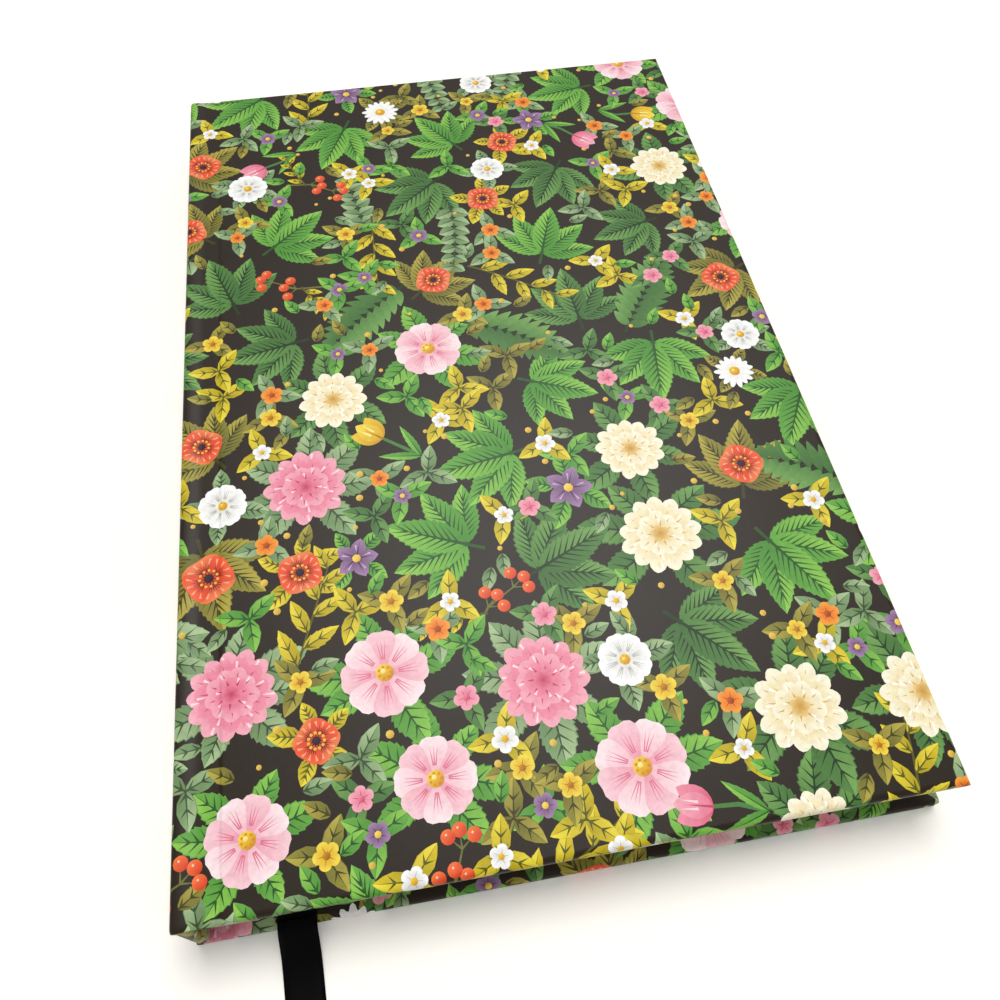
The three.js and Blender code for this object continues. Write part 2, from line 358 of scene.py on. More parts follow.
class Finish(Enum):
    """The finishes of the notebook, each named for the real material."""

    # Inks under satin film: full colour with one soft, even gloss.
    PRINT = LaminatedPrint()
    # The sheet's unprinted side: a flat, slightly warm white.
    SHEET_BACK = Stock("printed_sheet_back", "#e9e6de", "#dedad0")
    # Pressed recycled pulp: grey-brown, coarse and dead matt.
    GREYBOARD = Stock("greyboard", "#9a9186", "#7c7368", 1.1, 0.4, 0.5, 0.95)
    # Uncoated cream stock: matt and faintly clouded.
    ENDPAPER = Stock("endpaper_stock", "#f4eddc", "#ece3cf")
    # The pages' own paper: matt cream under weak rules.
    PAGE = RuledPage()
    # Cut leaf ends: matt, finely broken up and darker than the pages.
    PAGE_EDGE = Stock("guillotined_page_edge", "#f1ead9", "#d8cfba", 0.35, 0.1, 0.6)
    # Starched gauze: pale threads, painted darker where the cloth lies low, as shade between them.
    MULL = Weave("starched_mull", "#efe8d8", "#b9ae98", 0.9, 0.9)
    # Brown kraft: matt, with fibres that stand up a little.
    KRAFT = Stock("kraft_liner", "#b98f5c", "#a57a48", 1.4, 0.3, 0.4)
    # Waxed linen: pale twisted strands with a dull shine, painted darker between them as shade.
    THREAD = Weave("waxed_linen_thread", "#f1ebdc", "#cfc5b0", 0.5, 0.6, "Z", "X", 0.7)
    # Black cotton: dull ribs, painted lighter on their tops as a highlight and darker between them as
    # shade.
    HEADBAND = Weave("headband_cotton", "#2a292c", "#0f0f11", 0.35, 0.5, "Y", "Z", 0.55)
    # Polyester satin, drawn coarser than its real 0.1 mm weave so that it shows: nearly black, its hollows
    # painted darker still as shade.
    RIBBON = Weave("satin_ribbon", "#050506", "#020202", 0.4, 0.28, "X", "Y", 0.5, 0.2, 0.06)

    def material(self) -> bpy.types.Material:
        """The finish's material, built at its first use."""
        return bpy.data.materials.get(self.value.name) or self.value.material()


@dataclass(frozen=True)
class Tone:
    """Two inks that run into each other from the foot of a shape to its tip."""

    foot: str
    tip: str


@dataclass
class Patch:
    """One flat painted shape: its outline, its inks and the line along which they change."""

    outline: np.ndarray
    tone: Tone
    foot: np.ndarray
    reach: np.ndarray


class Sketch:
    """Flat shapes in painting order, in millimetres on the unwrapped sheet."""

    def __init__(self) -> None:
        """Starts empty."""
        self.patches: list[Patch] = []

    def add(self, outline: np.ndarray, tone: Tone, foot: Point, reach: Point) -> None:
        """Adds a closed shape, turned to run anticlockwise.

        Args:
            outline: the corners.
            tone: the inks.
            foot: where the first ink is pure.
            reach: from there to where the second one is.
        """
        x, y = outline.T
        if np.dot(x, np.roll(y, -1)) < np.dot(y, np.roll(x, -1)):
            outline = outline[::-1]
        self.patches.append(Patch(outline, tone, np.array(foot, float), np.array(reach, float)))

    def petal(
        self,
        foot: Point,
        angle: float,
        length: float,
        width: float,
        tone: Tone,
        belly: float = 0.6,
        point: float = 0.7,
        notch: float = 0.0,
        corners: int = 12,
        side: int = 0,
        teeth: int = 0,
    ) -> None:
        """Adds a petal, leaf or half leaf.

        Args:
            foot: where it is attached.
            angle: which way it points, in radians.
            length: foot to tip.
            width: at its widest.
            tone: the inks, foot to tip.
            belly: where it is widest, as a share of the length.
            point: above 1 for a drawn-out tip, below for a round one.
            notch: depth of the dent in the tip, as a share of the length.
            corners: how many points the outline has.
            side: 1 or -1 for one half only.
            teeth: how many teeth each margin has, in place of the smooth outline.
        """
        along = (1 - np.cos(np.linspace(0, math.pi, corners // 2 + 1))) / 2
        bite = 1.0
        if teeth:
            gap, cut = 0.012, 0.87
            marks = np.arange(1, teeth) / teeth
            along = np.concatenate([[0], np.stack([marks, marks + gap], 1).ravel(), [1]])
            bite = np.concatenate([[1], np.tile([1.0, cut], teeth - 1), [1]])
        half = bite * width / 2 * np.sin(math.pi * along ** (math.log(0.5) / math.log(belly))) ** point
        if side:
            x, y = along, half * side
        else:
            x = np.concatenate([along, along[-2:0:-1]])
            y = np.concatenate([half, -half[-2:0:-1]])
        dent = notch * np.clip(1 - np.abs(y) / (0.3 * width), 0, 1) * (x > 0.6)
        c, s = math.cos(angle), math.sin(angle)
        x = (x - dent) * length
        outline = np.stack([foot[0] + c * x - s * y, foot[1] + s * x + c * y], 1)
        self.add(outline, tone, foot, (c * length, s * length))

    def disc(self, centre: Point, radius: float, tone: Tone, corners: int = 9) -> None:
        """Adds a round spot, lit from its upper left.

        Args:
            centre: its middle.
            radius: its radius.
            tone: the inks, from the lower right to the upper left.
            corners: how many points the outline has.
        """
        turn = np.arange(corners) * 2 * math.pi / corners
        outline = np.stack([centre[0] + radius * np.cos(turn), centre[1] + radius * np.sin(turn)], 1)
        low = (centre[0] + 0.7 * radius, centre[1] - 0.7 * radius)
        self.add(outline, tone, low, (-1.4 * radius, 1.4 * radius))

    def sliver(self, start: Point, end: Point, width: float, ink: str) -> None:
        """Adds one tapered touch of the brush.

        Args:
            start: its broad end.
            end: its point.
            width: at the broad end.
            ink: its one ink.
        """
        d = np.subtract(end, start)
        n = np.array([-d[1], d[0]]) / max(float(np.hypot(*d)), 1e-6) * width / 2
        outline = np.array([np.add(start, n), np.subtract(start, n), end])
        self.add(outline, Tone(ink, ink), start, tuple(d))

    def stem(self, path: list[Point], width: float, tip_width: float, ink: str) -> None:
        """Adds a stalk that thins towards its end.

        Args:
            path: two or more points of its middle line.
            width: at the first point.
            tip_width: at the last one.
            ink: its one ink.
        """
        p = np.array(path, float)
        d = np.gradient(p, axis=0)
        n = np.stack([-d[:, 1], d[:, 0]], 1) / np.hypot(*d.T)[:, None]
        w = np.linspace(width, tip_width, len(p))[:, None] / 2
        outline = np.concatenate([p + n * w, (p - n * w)[::-1]])
        self.add(outline, Tone(ink, ink), path[0], tuple(p[-1] - p[0]))


def polar(centre: Point, angle: float, distance: float) -> Point:
    """The point at that angle and distance."""
    return (centre[0] + distance * math.cos(angle), centre[1] + distance * math.sin(angle))


@dataclass(frozen=True)
class LeafInk:
    """Inks of one kind of foliage."""

    tone: Tone
    light: Tone
    vein: str


class Foliage(Enum):
    """The sheet's foliage colours."""

    BRIGHT = LeafInk(Tone("#4b8c34", "#6cac48"), Tone("#62a43e", "#95cc56"), "#2a5724")
    DEEP = LeafInk(Tone("#426c36", "#578443"), Tone("#52803f", "#7aa85a"), "#223c1c")
    SAGE = LeafInk(Tone("#637f52", "#87a674"), Tone("#7a9566", "#b0c896"), "#384f2e")
    OLIVE = LeafInk(Tone("#67652a", "#968e38"), Tone("#857d2f", "#bcae4a"), "#413f17")
    GOLD = LeafInk(Tone("#a8981c", "#dcc424"), Tone("#c6b024", "#f1df45"), "#5b5a18")


@dataclass(frozen=True)
class BloomInk:
    """Inks of one kind of bloom: outer and inner petals, shading touches and centre."""

    outer: Tone
    inner: Tone
    shade: str
    light: str
    centre: Tone


class Bloom(Enum):
    """The sheet's bloom colours."""

    PINK = BloomInk(
        Tone("#e57792", "#f3adba"),
        Tone("#d95a78", "#f095a9"),
        "#c44768",
        "#fddbe0",
        Tone("#c43f63", "#ef8ba0"),
    )
    CORAL = BloomInk(
        Tone("#cf3a26", "#f4643c"),
        Tone("#b92f22", "#f78552"),
        "#9a2419",
        "#fca97c",
        Tone("#1f1518", "#45303a"),
    )
    CREAM = BloomInk(
        Tone("#e9d49b", "#fbf6dc"),
        Tone("#e2c27e", "#f8edc6"),
        "#d6ac62",
        "#fffdf2",
        Tone("#c9953f", "#efcf86"),
    )
    WHITE = BloomInk(
        Tone("#d8d6cc", "#ffffff"),
        Tone("#e6e3d8", "#ffffff"),
        "#b9bdb4",
        "#ffffff",
        Tone("#cf8f18", "#f8d03a"),
    )
    BLUSH = BloomInk(
        Tone("#f0aebb", "#fce9ea"),
        Tone("#ea93a6", "#f7d0d6"),
        "#de758e",
        "#ffffff",
        Tone("#d08a1c", "#f7d344"),
    )
    PURPLE = BloomInk(
        Tone("#6b4a6d", "#a583aa"),
        Tone("#5b3d60", "#8f6c95"),
        "#452c4a",
        "#cdb2cf",
        Tone("#e2b024", "#f8de6a"),
    )
    ORANGE = BloomInk(
        Tone("#e56a1c", "#f9a53e"),
        Tone("#d4551a", "#f58c2f"),
        "#b4440f",
        "#fdcf7c",
        Tone("#8a3a12", "#c7621c"),
    )
    YELLOW = BloomInk(
        Tone("#d9a51c", "#f6dc4e"),
        Tone("#c98f17", "#f0c838"),
        "#a9760f",
        "#fdf0a0",
        Tone("#9c5f14", "#d08d24"),
    )


class Meadow:
    """Draws a dense mixed planting over the unwrapped sheet, leaves first and blooms over them."""

    def __init__(self, low: Point, high: Point, seed: int = 31) -> None:
        """Starts a planting.

        Args:
            low: the sheet's lower left corner.
            high: its upper right corner.
            seed: of the layout's random draws.
        """
        self.low = low
        self.high = high
        self.rng = random.Random(seed)
        self.under = Sketch()
        self.over = Sketch()
        self.spots: list[tuple[float, float, float]] = []

    def leaf(
        self,
        sketch: Sketch,
        foot: Point,
        angle: float,
        length: float,
        width: float,
        ink: Foliage,
        veins: int = 4,
    ) -> None:
        """Draws one ovate leaf with a lighter half, a midrib and slanting side veins.

        Args:
            sketch: where it is added.
            foot: where it is attached.
            angle: which way it points, in radians.
            length: foot to tip; a long leaf has toothed margins.
            width: at its widest.
            ink: its foliage colours.
            veins: how many side veins each half has.
        """
        inks = ink.value
        teeth = round(0.75 * length) if length > 8 else 0
        sketch.petal(foot, angle, length, width, inks.tone, 0.42, 0.85, teeth=teeth)
        sketch.petal(foot, angle, length, 0.92 * width, inks.light, 0.42, 0.85, side=1, teeth=teeth)
        for i in range(veins):
            t = 0.1 + 0.7 * i / max(veins, 1)
            start = polar(foot, angle, t * length)
            spread = 0.42 * width * math.sin(math.pi * min(0.95, (t + 0.16)) ** 0.8)
            for side in (1, -1):
                end = polar(polar(foot, angle, (t + 0.2) * length), angle + side * math.pi / 2, spread)
                sketch.sliver(start, end, 0.46, inks.vein)
        sketch.sliver(foot, polar(foot, angle, 0.96 * length), 0.075 * width + 0.12, inks.vein)

    def collar(self, centre: Point, radius: float, count: int, ink: Foliage) -> None:
        """Draws leaves that look out from under a bloom.

        Args:
            centre: the bloom's middle.
            radius: the bloom's radius.
            count: how many leaves.
            ink: their foliage colours.
        """
        start = self.rng.uniform(0, math.tau)
        for i in range(count):
            angle = start + math.tau * i / count + self.rng.uniform(-0.25, 0.25)
            length = radius * self.rng.uniform(1.0, 1.35)
            foot = polar(centre, angle, radius * 0.55)
            self.leaf(self.under, foot, angle + self.rng.uniform(-0.3, 0.3), length, length * 0.62, ink)

    def dahlia(self, c: Point, r: float, ink: Bloom) -> None:
        """A many-ringed bloom with cupped petals.

        Args:
            c: its middle.
            r: its radius.
            ink: its colours.
        """
        inks = ink.value
        turn = self.rng.uniform(0, math.tau)
        wide = ((13, 1.0, inks.outer), (11, 0.8, inks.inner))
        rings = (*wide, (9, 0.6, inks.outer), (7, 0.41, inks.inner))
        for ring, (count, reach, tone) in enumerate(rings):
            for i in range(count):
                angle = turn + ring * 0.35 + math.tau * i / count
                length = r * reach * self.rng.uniform(0.94, 1.04)
                width = 1.25 * math.tau * reach * r / count * 0.72
                self.over.petal(c, angle, length, width, tone, 0.72, 0.6, corners=18)
                foot = polar(c, angle, length * 0.5)
                self.over.sliver(foot, polar(c, angle + 0.03, length * 0.86), 0.5, inks.shade)
                if (i + ring) % 2:
                    rim = polar(c, angle + 0.14, length * 0.9)
                    self.over.sliver(rim, polar(c, angle + 0.1, length * 0.62), 0.55, inks.light)
        for i in range(5):
            angle = turn + math.tau * i / 5
            self.over.petal(c, angle, r * 0.24, r * 0.2, inks.centre, 0.6, 0.6, corners=8)

    def poppy(self, c: Point, r: float, ink: Bloom) -> None:
        """Four broad crumpled petals round a dark eye with stamens.

        Args:
            c: its middle.
            r: its radius.
            ink: its colours.
        """
        inks = ink.value
        turn = self.rng.uniform(0, math.tau)
        for order, i in enumerate((0, 2, 1, 3)):
            angle = turn + math.tau * i / 4
            tone = inks.inner if order < 2 else inks.outer
            width = r * (1.62 if order < 2 else 1.4)
            self.over.petal(c, angle, r, width, tone, 0.66, 0.5, notch=0.07, corners=28)
            for k in range(-3, 4):
                foot = polar(c, angle + 0.1 * k, r * 0.3)
                end = polar(c, angle + 0.19 * k, r * (0.78 - 0.03 * abs(k)))
                self.over.sliver(foot, end, 0.42, inks.shade)
                if k % 2:
                    rim = polar(c, angle + 0.21 * k, r * 0.88)
                    self.over.sliver(rim, polar(c, angle + 0.17 * k, r * 0.6), 0.5, inks.light)
        self.over.disc(c, r * 0.2, inks.centre, 10)
        for i in range(11):
            angle = turn + math.tau * i / 11
            self.over.sliver(polar(c, angle, r * 0.14), polar(c, angle, r * 0.36), 0.3, "#2a1c20")
            self.over.disc(polar(c, angle, r * 0.36), 0.34, Tone("#e0a32a", "#f6cf58"), 5)

    def cosmos(self, c: Point, r: float, ink: Bloom) -> None:
        """Eight blunt petals with fine grooves and a dotted eye.

        Args:
            c: its middle.
            r: its radius.
            ink: its colours.
        """
        inks = ink.value
        turn = self.rng.uniform(0, math.tau)
        for i in range(8):
            angle = turn + math.tau * i / 8
            tone = inks.outer if i % 2 else inks.inner
            self.over.petal(c, angle, r, r * 0.68, tone, 0.74, 0.5, notch=0.06, corners=20)
            for k in (-1, 0, 1):
                foot = polar(c, angle + 0.1 * k, r * 0.3)
                self.over.sliver(foot, polar(c, angle + 0.13 * k, r * 0.78), 0.26, inks.shade)
        self.eye(c, r * 0.2, inks.centre)

    def daisy(self, c: Point, r: float, ink: Bloom) -> None:
        """Many narrow rays round a domed eye.

        Args:
            c: its middle.
            r: its radius.
            ink: its colours.
        """
        inks = ink.value
        turn = self.rng.uniform(0, math.tau)
        for row, (count, reach, tone) in enumerate(((15, 1.0, inks.outer), (11, 0.8, inks.inner))):
            for i in range(count):
                angle = turn + row * 0.2 + math.tau * i / count
                length = r * reach * self.rng.uniform(0.9, 1.05)
                self.over.petal(c, angle, length, r * 0.3, tone, 0.7, 0.6, corners=12)
            if row == 0:
                self.over.disc(c, r * 0.42, Tone(inks.shade, inks.shade), 14)
        self.eye(c, r * 0.28, inks.centre)

    def eye(self, c: Point, r: float, tone: Tone) -> None:
        """A domed centre with a ring of grains.

        Args:
            c: its middle.
            r: its radius.
            tone: its inks.
        """
        self.over.disc(c, r, tone, 16)
        grain = Tone(tone.foot, tone.foot)
        count = 7 if r > 1 else 5
        for i in range(count):
            self.over.disc(polar(c, math.tau * i / count, r * 0.66), r * 0.18, grain, 4)
        self.over.disc(polar(c, 2.3, r * 0.25), r * 0.3, Tone(tone.tip, "#fdf3b4"), 6)

    def posy(self, c: Point, r: float, ink: Bloom) -> None:
        """One small bloom of five round petals.

        Args:
            c: its middle.
            r: its radius.
            ink: its colours.
        """
        inks = ink.value
        turn = self.rng.uniform(0, math.tau)
        for i in range(5):
            self.over.petal(c, turn + math.tau * i / 5, r, r * 0.86, inks.outer, 0.66, 0.5, corners=14)
            end = polar(c, turn + math.tau * i / 5, r * 0.75)
            self.over.sliver(c, end, 0.3, inks.shade)
        self.over.disc(c, r * 0.28, inks.centre, 10)

    def star(self, c: Point, r: float, ink: Bloom) -> None:
        """A bell bloom seen from the front: five pointed lobes with a ridge each.

        Args:
            c: its middle.
            r: its radius.
            ink: its colours.
        """
        inks = ink.value
        turn = self.rng.uniform(0, math.tau)
        for i in range(5):
            angle = turn + math.tau * i / 5
            self.over.petal(c, angle, r, r * 0.72, inks.outer, 0.5, 0.9, corners=14)
            self.over.sliver(c, polar(c, angle, r * 0.85), 0.4, inks.shade)
            rim = polar(c, angle + 0.25, r * 0.66)
            self.over.sliver(rim, polar(c, angle + 0.2, r * 0.3), 0.4, inks.light)
        self.over.disc(c, r * 0.2, inks.centre, 7)

    def tulip(self, foot: Point, angle: float, size: float, ink: Bloom) -> None:
        """A cup of overlapping petals on a stalk with two long leaves.

        Args:
            foot: the stalk's foot.
            angle: which way it grows, in radians.
            size: length of the stalk, to which the cup and leaves keep.
            ink: the cup's colours.
        """
        inks = ink.value
        bend = self.rng.uniform(-0.35, 0.35)
        mid = polar(foot, angle + bend, size * 0.6)
        head = polar(mid, angle - bend, size * 0.5)
        self.under.stem([foot, mid, head], 0.9, 0.7, "#4c7f3f")
        for side in (1, -1):
            lean = angle + side * 0.5
            self.leaf(self.under, foot, lean, size * 1.05, size * 0.24, Foliage.BRIGHT, veins=0)
        cup = ((0.42, 0.46, inks.inner), (-0.42, 0.46, inks.inner), (0.0, 0.5, inks.outer))
        for spread, width, tone in cup:
            self.over.petal(head, angle + spread, size * 0.78, size * width, tone, 0.45, 0.75, corners=18)
            self.over.sliver(head, polar(head, angle + spread, size * 0.55), 0.5, inks.shade)
        for spread in (0.22, -0.22):
            start = polar(head, angle + spread, size * 0.3)
            self.over.sliver(start, polar(head, angle + spread * 0.6, size * 0.66), 0.5, inks.light)

    def fern(self, foot: Point, angle: float, length: float, ink: Foliage) -> None:
        """A frond with paired leaflets that shorten to the tip.

        Args:
            foot: the stalk's foot.
            angle: which way it grows, in radians.
            length: length of the stalk.
            ink: its foliage colours.
        """
        inks = ink.value
        curl = self.rng.uniform(-0.5, 0.5)
        path = [foot]
        count = 11
        for i in range(count):
            path.append(polar(path[-1], angle + curl * i / count, length / count))
        self.under.stem(path, 0.7, 0.2, inks.vein)
        for i in range(1, count + 1):
            reach = length * 0.3 * math.sin(math.pi * (0.18 + 0.8 * i / (count + 1)))
            heading = angle + curl * i / count
            for side in (1, -1):
                tone = inks.light if side > 0 else inks.tone
                lean = heading + side * 1.0
                self.under.petal(path[i], lean, reach, length * 0.1, tone, 0.4, 0.8, corners=12)

    def spray(self, foot: Point, angle: float, length: float, ink: Foliage, round_leaf: bool) -> None:
        """A stalk with leaves along it: blunt and paired as on a gum tree, or slender and alternate.

        Args:
            foot: the stalk's foot.
            angle: which way it grows, in radians.
            length: length of the stalk.
            ink: its foliage colours.
            round_leaf: whether the leaves are the blunt, paired ones.
        """
        inks = ink.value
        curl = self.rng.uniform(-0.6, 0.6)
        path = [foot]
        count = 7
        for i in range(count):
            path.append(polar(path[-1], angle + curl * i / count, length / count))
        self.under.stem(path, 0.6, 0.3, inks.vein)
        for i in range(1, count + 1):
            heading = angle + curl * i / count
            side = 1 if i % 2 else -1
            for turn in ((side,) if not round_leaf else (1, -1)):
                size = length * (0.2 if round_leaf else 0.34) * (1.1 - 0.05 * i)
                width = size * (0.85 if round_leaf else 0.42)
                lean = heading + turn * (1.15 if round_leaf else 0.75)
                self.leaf(self.under, path[i], lean, size, width, ink, veins=0 if round_leaf else 2)

    def berries(self, foot: Point, angle: float, length: float, tone: Tone) -> None:
        """Round berries on short stalks off one bent stalk.

        Args:
            foot: the stalk's foot.
            angle: which way it grows, in radians.
            length: length of the stalk.
            tone: the berries' inks.
        """
        path = [foot, polar(foot, angle + 0.2, length * 0.5)]
        path.append(polar(path[-1], angle - 0.25, length * 0.5))
        stalk = "#6f7034"
        self.under.stem(path, 0.6, 0.3, stalk)
        for i in range(6):
            base = path[1] if i < 3 else path[2]
            aim = angle + (-0.9, 0.0, 0.9)[i % 3] + self.rng.uniform(-0.2, 0.2)
            spot = polar(base, aim, length * 0.24)
            self.over.sliver(base, spot, 0.4, stalk)
            self.over.disc(spot, length * 0.1, tone, 14)
            self.over.disc(polar(spot, 2.2, length * 0.035), length * 0.02, Tone(tone.tip, "#fff6e0"), 4)

    def fan(self, c: Point, r: float, ink: Foliage) -> None:
        """A cluster of five long leaves from one point.

        Args:
            c: its middle.
            r: its radius.
            ink: its foliage colours.
        """
        angle = self.rng.uniform(0, math.tau)
        base = polar(c, angle + math.pi, r * 0.55)
        self.under.stem([polar(base, angle + math.pi, r * 0.4), base], 0.8, 0.6, ink.value.vein)
        for turn in (-1.25, 1.25, -0.65, 0.65, 0.0):
            length = r * (1.8 - 0.28 * abs(turn))
            self.leaf(self.under, base, angle + turn, length, length * 0.46, ink, veins=8)

    def scatter(self, radius: float, gap: float, tries: int) -> list[Point]:
        """Finds places that keep clear of all earlier ones.

        Args:
            radius: room that each new place takes.
            gap: share of two neighbours' room that they keep between them.
            tries: how many candidates are thrown.

        Returns:
            The places, in the order found.
        """
        found = []
        taken = np.array(self.spots or [(1e6, 1e6, 0.0)])
        for _ in range(tries):
            x = self.rng.uniform(self.low[0], self.high[0])
            y = self.rng.uniform(self.low[1], self.high[1])
            if (np.hypot(taken[:, 0] - x, taken[:, 1] - y) < gap * (taken[:, 2] + radius)).any():
                continue
            self.spots.append((x, y, radius))
            taken = np.array(self.spots)
            found.append((x, y))
        return found

    def paint(self) -> list[Patch]:
        """Lays the whole planting out, large plants first.

        Returns:
            All shapes in painting order.
        """
        self.plant_large()
        self.plant_middling()
        self.plant_small()
        return self.under.patches + self.over.patches

    def plant_large(self) -> None:
        """Sets the large blooms and the leaf fans, which give the sheet its scale."""
        for i, c in enumerate(self.scatter(10.5, 1.0, 2500)):
            r = self.rng.uniform(8.6, 10.4)
            kind = (i * 5 + int(c[0] // 40)) % 7
            if kind == 0:
                self.collar(c, r, 7, Foliage.SAGE)
                self.dahlia(c, r, Bloom.PINK)
            elif kind in (1, 6):
                self.fan(c, r, Foliage.BRIGHT)
            elif kind == 2:
                self.fan(c, r, Foliage.OLIVE)
                self.poppy(c, r * 0.5, Bloom.CORAL)
            elif kind == 3:
                self.collar(c, r * 0.9, 6, Foliage.DEEP)
                self.dahlia(c, r * 0.84, Bloom.CREAM)
            elif kind == 4:
                self.fan(c, r, Foliage.DEEP)
            else:
                self.collar(c, r * 0.9, 6, Foliage.BRIGHT)
                self.cosmos(c, r * 0.9, Bloom.BLUSH)

    def plant_middling(self) -> None:
        """Sets middling blooms, ferns, sprays and berries between the large plants."""
        for i, c in enumerate(self.scatter(5.6, 1.0, 5000)):
            r = self.rng.uniform(4.6, 5.6)
            angle = self.rng.uniform(0, math.tau)
            kind = i % 9
            if kind == 0:
                self.collar(c, r, 4, Foliage.OLIVE)
                self.daisy(c, r, Bloom.WHITE)
            elif kind == 1:
                self.spray(polar(c, angle, -11), angle, 23, Foliage.SAGE, True)
            elif kind == 2:
                self.tulip(polar(c, angle, -7), angle, 9, self.rng.choice((Bloom.PINK, Bloom.YELLOW)))
            elif kind == 3:
                self.collar(c, r, 4, Foliage.BRIGHT)
                self.star(c, r * 0.95, Bloom.PURPLE)
            elif kind == 4:
                self.fern(polar(c, angle, -12), angle, 26, Foliage.DEEP)
            elif kind == 5:
                self.berries(polar(c, angle, -6), angle, 13, Tone("#d23c22", "#f8783e"))
                self.spray(polar(c, angle + 2.4, 1), angle + 2.4, 12, Foliage.GOLD, False)
            elif kind == 6:
                self.collar(c, r, 4, Foliage.SAGE)
                self.cosmos(c, r, Bloom.WHITE)
            elif kind == 7:
                self.spray(polar(c, angle, -11), angle, 24, Foliage.GOLD, False)
            else:
                self.collar(c, r, 5, Foliage.GOLD)
                self.poppy(c, r * 0.8, Bloom.CORAL)

    def plant_small(self) -> None:
        """Fills the gaps with leafy posies, then with single leaves and seeds."""
        blooms = (Bloom.PURPLE, Bloom.ORANGE, Bloom.WHITE, Bloom.YELLOW, Bloom.PINK)
        greens = (Foliage.BRIGHT, Foliage.SAGE, Foliage.GOLD, Foliage.OLIVE, Foliage.DEEP)
        for i, c in enumerate(self.scatter(2.9, 0.95, 9000)):
            angle = self.rng.uniform(0, math.tau)
            for turn in (0.0, 2.2, 4.1):
                self.leaf(self.under, c, angle + turn, 7.0, 3.6, greens[i % 5], veins=2)
            if i % 4:
                self.posy(c, self.rng.uniform(1.9, 2.6), blooms[i % 5])
        for i, c in enumerate(self.scatter(2.0, 0.9, 9000)):
            if i % 2:
                angle = self.rng.uniform(0, math.tau)
                green = (Foliage.BRIGHT, Foliage.OLIVE, Foliage.SAGE)[i // 2 % 3]
                self.leaf(self.under, polar(c, angle, -2.6), angle, 5.6, 3.0, green, veins=2)
            else:
                self.under.disc(c, self.rng.uniform(0.5, 0.8), Tone("#c99a2c", "#f2d060"), 8)


def eased(share: np.ndarray) -> np.ndarray:
    """A share of 0 to 1 with soft ends."""
    return share**2 * (3 - 2 * share)


def absorb(whole: bmesh.types.BMesh, piece: bmesh.types.BMesh) -> None:
    """Adds one bmesh to another.

    Args:
        whole: the bmesh that grows.
        piece: the bmesh that is added; it is freed.
    """
    mesh = bpy.data.meshes.new("part")
    piece.to_mesh(mesh)
    piece.free()
    whole.from_mesh(mesh)
    bpy.data.meshes.remove(mesh)


def add_box(
    made: bmesh.types.BMesh, low: Sequence[float], high: Sequence[float]
) -> list[bmesh.types.BMVert]:
    """Adds a box between two corners.

    Args:
        made: the bmesh that it is added to.
        low: the lowest corner.
        high: the highest corner.

    Returns:
        The box's corners.
    """
    corners = bmesh.ops.create_cube(made, size=1.0)["verts"]
    for vert in corners:
        vert.co = [(low[k] + high[k]) / 2 + vert.co[k] * (high[k] - low[k]) for k in range(3)]
    return corners


@dataclass(frozen=True)
class CaseSizes:
    """Sizes of the case in millimetres, as in the part's source, and the wear of its back corners.

    Attributes:
        width: spine's face to fore-edge.
        height: head to tail.
        thickness: front to back.
        wrapped: thickness of a board inside the sheet.
        turn_in: how far the sheet reaches inside the cover.
        arris: radius of the cover's edges.
        spine_arris: radius of the case's two spine corners.
        spine_inset: how far inside each face the spine board ends.
        spine_wrapped: thickness of the spine board inside the sheet.
        joint_wrapped: thickness of the joint, where the sheet is folded on itself.
        setback: spine's face to board.
        groove_start: spine's face to where the joint begins to sink.
        groove_ease: how long the sinking takes.
        groove_depth: how deep the joint lies.
        board_lap: how far past the board's edge the sheet is back at full height.
        board_rise: how long that rise takes.
        board_ramp: how far before the board the wrapped thickness begins to grow.
        spine_ramp: the same at the spine board's long edges.
        shift: front cover towards the head and back cover towards the tail.
        paper: thickness of the sheet.
        print_margin: how far inside the cover the print reaches.
        blunt: radius to which the back cover's fore-edge corners are worn.
    """

    width: float = 140.0
    height: float = 215.0
    thickness: float = 15.42
    wrapped: float = 3.14
    turn_in: float = 15.0
    arris: float = 1.1
    spine_arris: float = 1.0
    spine_inset: float = 1.2
    spine_wrapped: float = 2.64
    joint_wrapped: float = 0.62
    setback: float = 8.6
    groove_start: float = 1.4
    groove_ease: float = 3.2
    groove_depth: float = 0.3
    board_lap: float = 0.25
    board_rise: float = 0.7
    board_ramp: float = 2.6
    spine_ramp: float = 0.9
    shift: float = 0.8
    paper: float = 0.3
    print_margin: float = 4.5
    blunt: float = 1.0


@dataclass(frozen=True)
class Rectangles:
    """Cuts rectangles out of one half of the printed sheet."""

    case: "PrintedCase"
    patches: list[Patch]
    front: bool

    def cut(
        self,
        low: Point,
        high: Point,
        cross: list[float],
        rows: list[float],
        wrap: Callable[[np.ndarray, bool], np.ndarray],
    ) -> bmesh.types.BMesh:
        """Cuts one rectangle, colours it and puts it in place.

        Args:
            low: the corner at the tail and nearest to mid-spine.
            high: the corner at the head and farthest from it.
            cross: places of the bends that run along the head to tail direction.
            rows: places of the bends that run the other way.
            wrap: places the rectangle's points.

        Returns:
            A bmesh with the inks on its corners.
        """
        sign = 1 if self.front else -1
        near, far = sorted((sign * low[0], sign * high[0]))
        corners = ((near, low[1]), (far, high[1]))
        flat, tris, colour = self.case.cut(self.patches, *corners, cross, rows)
        mesh = bpy.data.meshes.new("part")
        mesh.from_pydata(wrap(flat, self.front).tolist(), [], tris.tolist())
        inks = mesh.color_attributes.new(Finish.PRINT.value.attribute, "FLOAT_COLOR", "CORNER")
        full = np.ones((colour.size // 3, 4), np.float32)
        full[:, :3] = colour.reshape(-1, 3)
        inks.data.foreach_set("color", full.ravel())
        made = bmesh.new()
        made.from_mesh(mesh)
        bpy.data.meshes.remove(mesh)
        return made


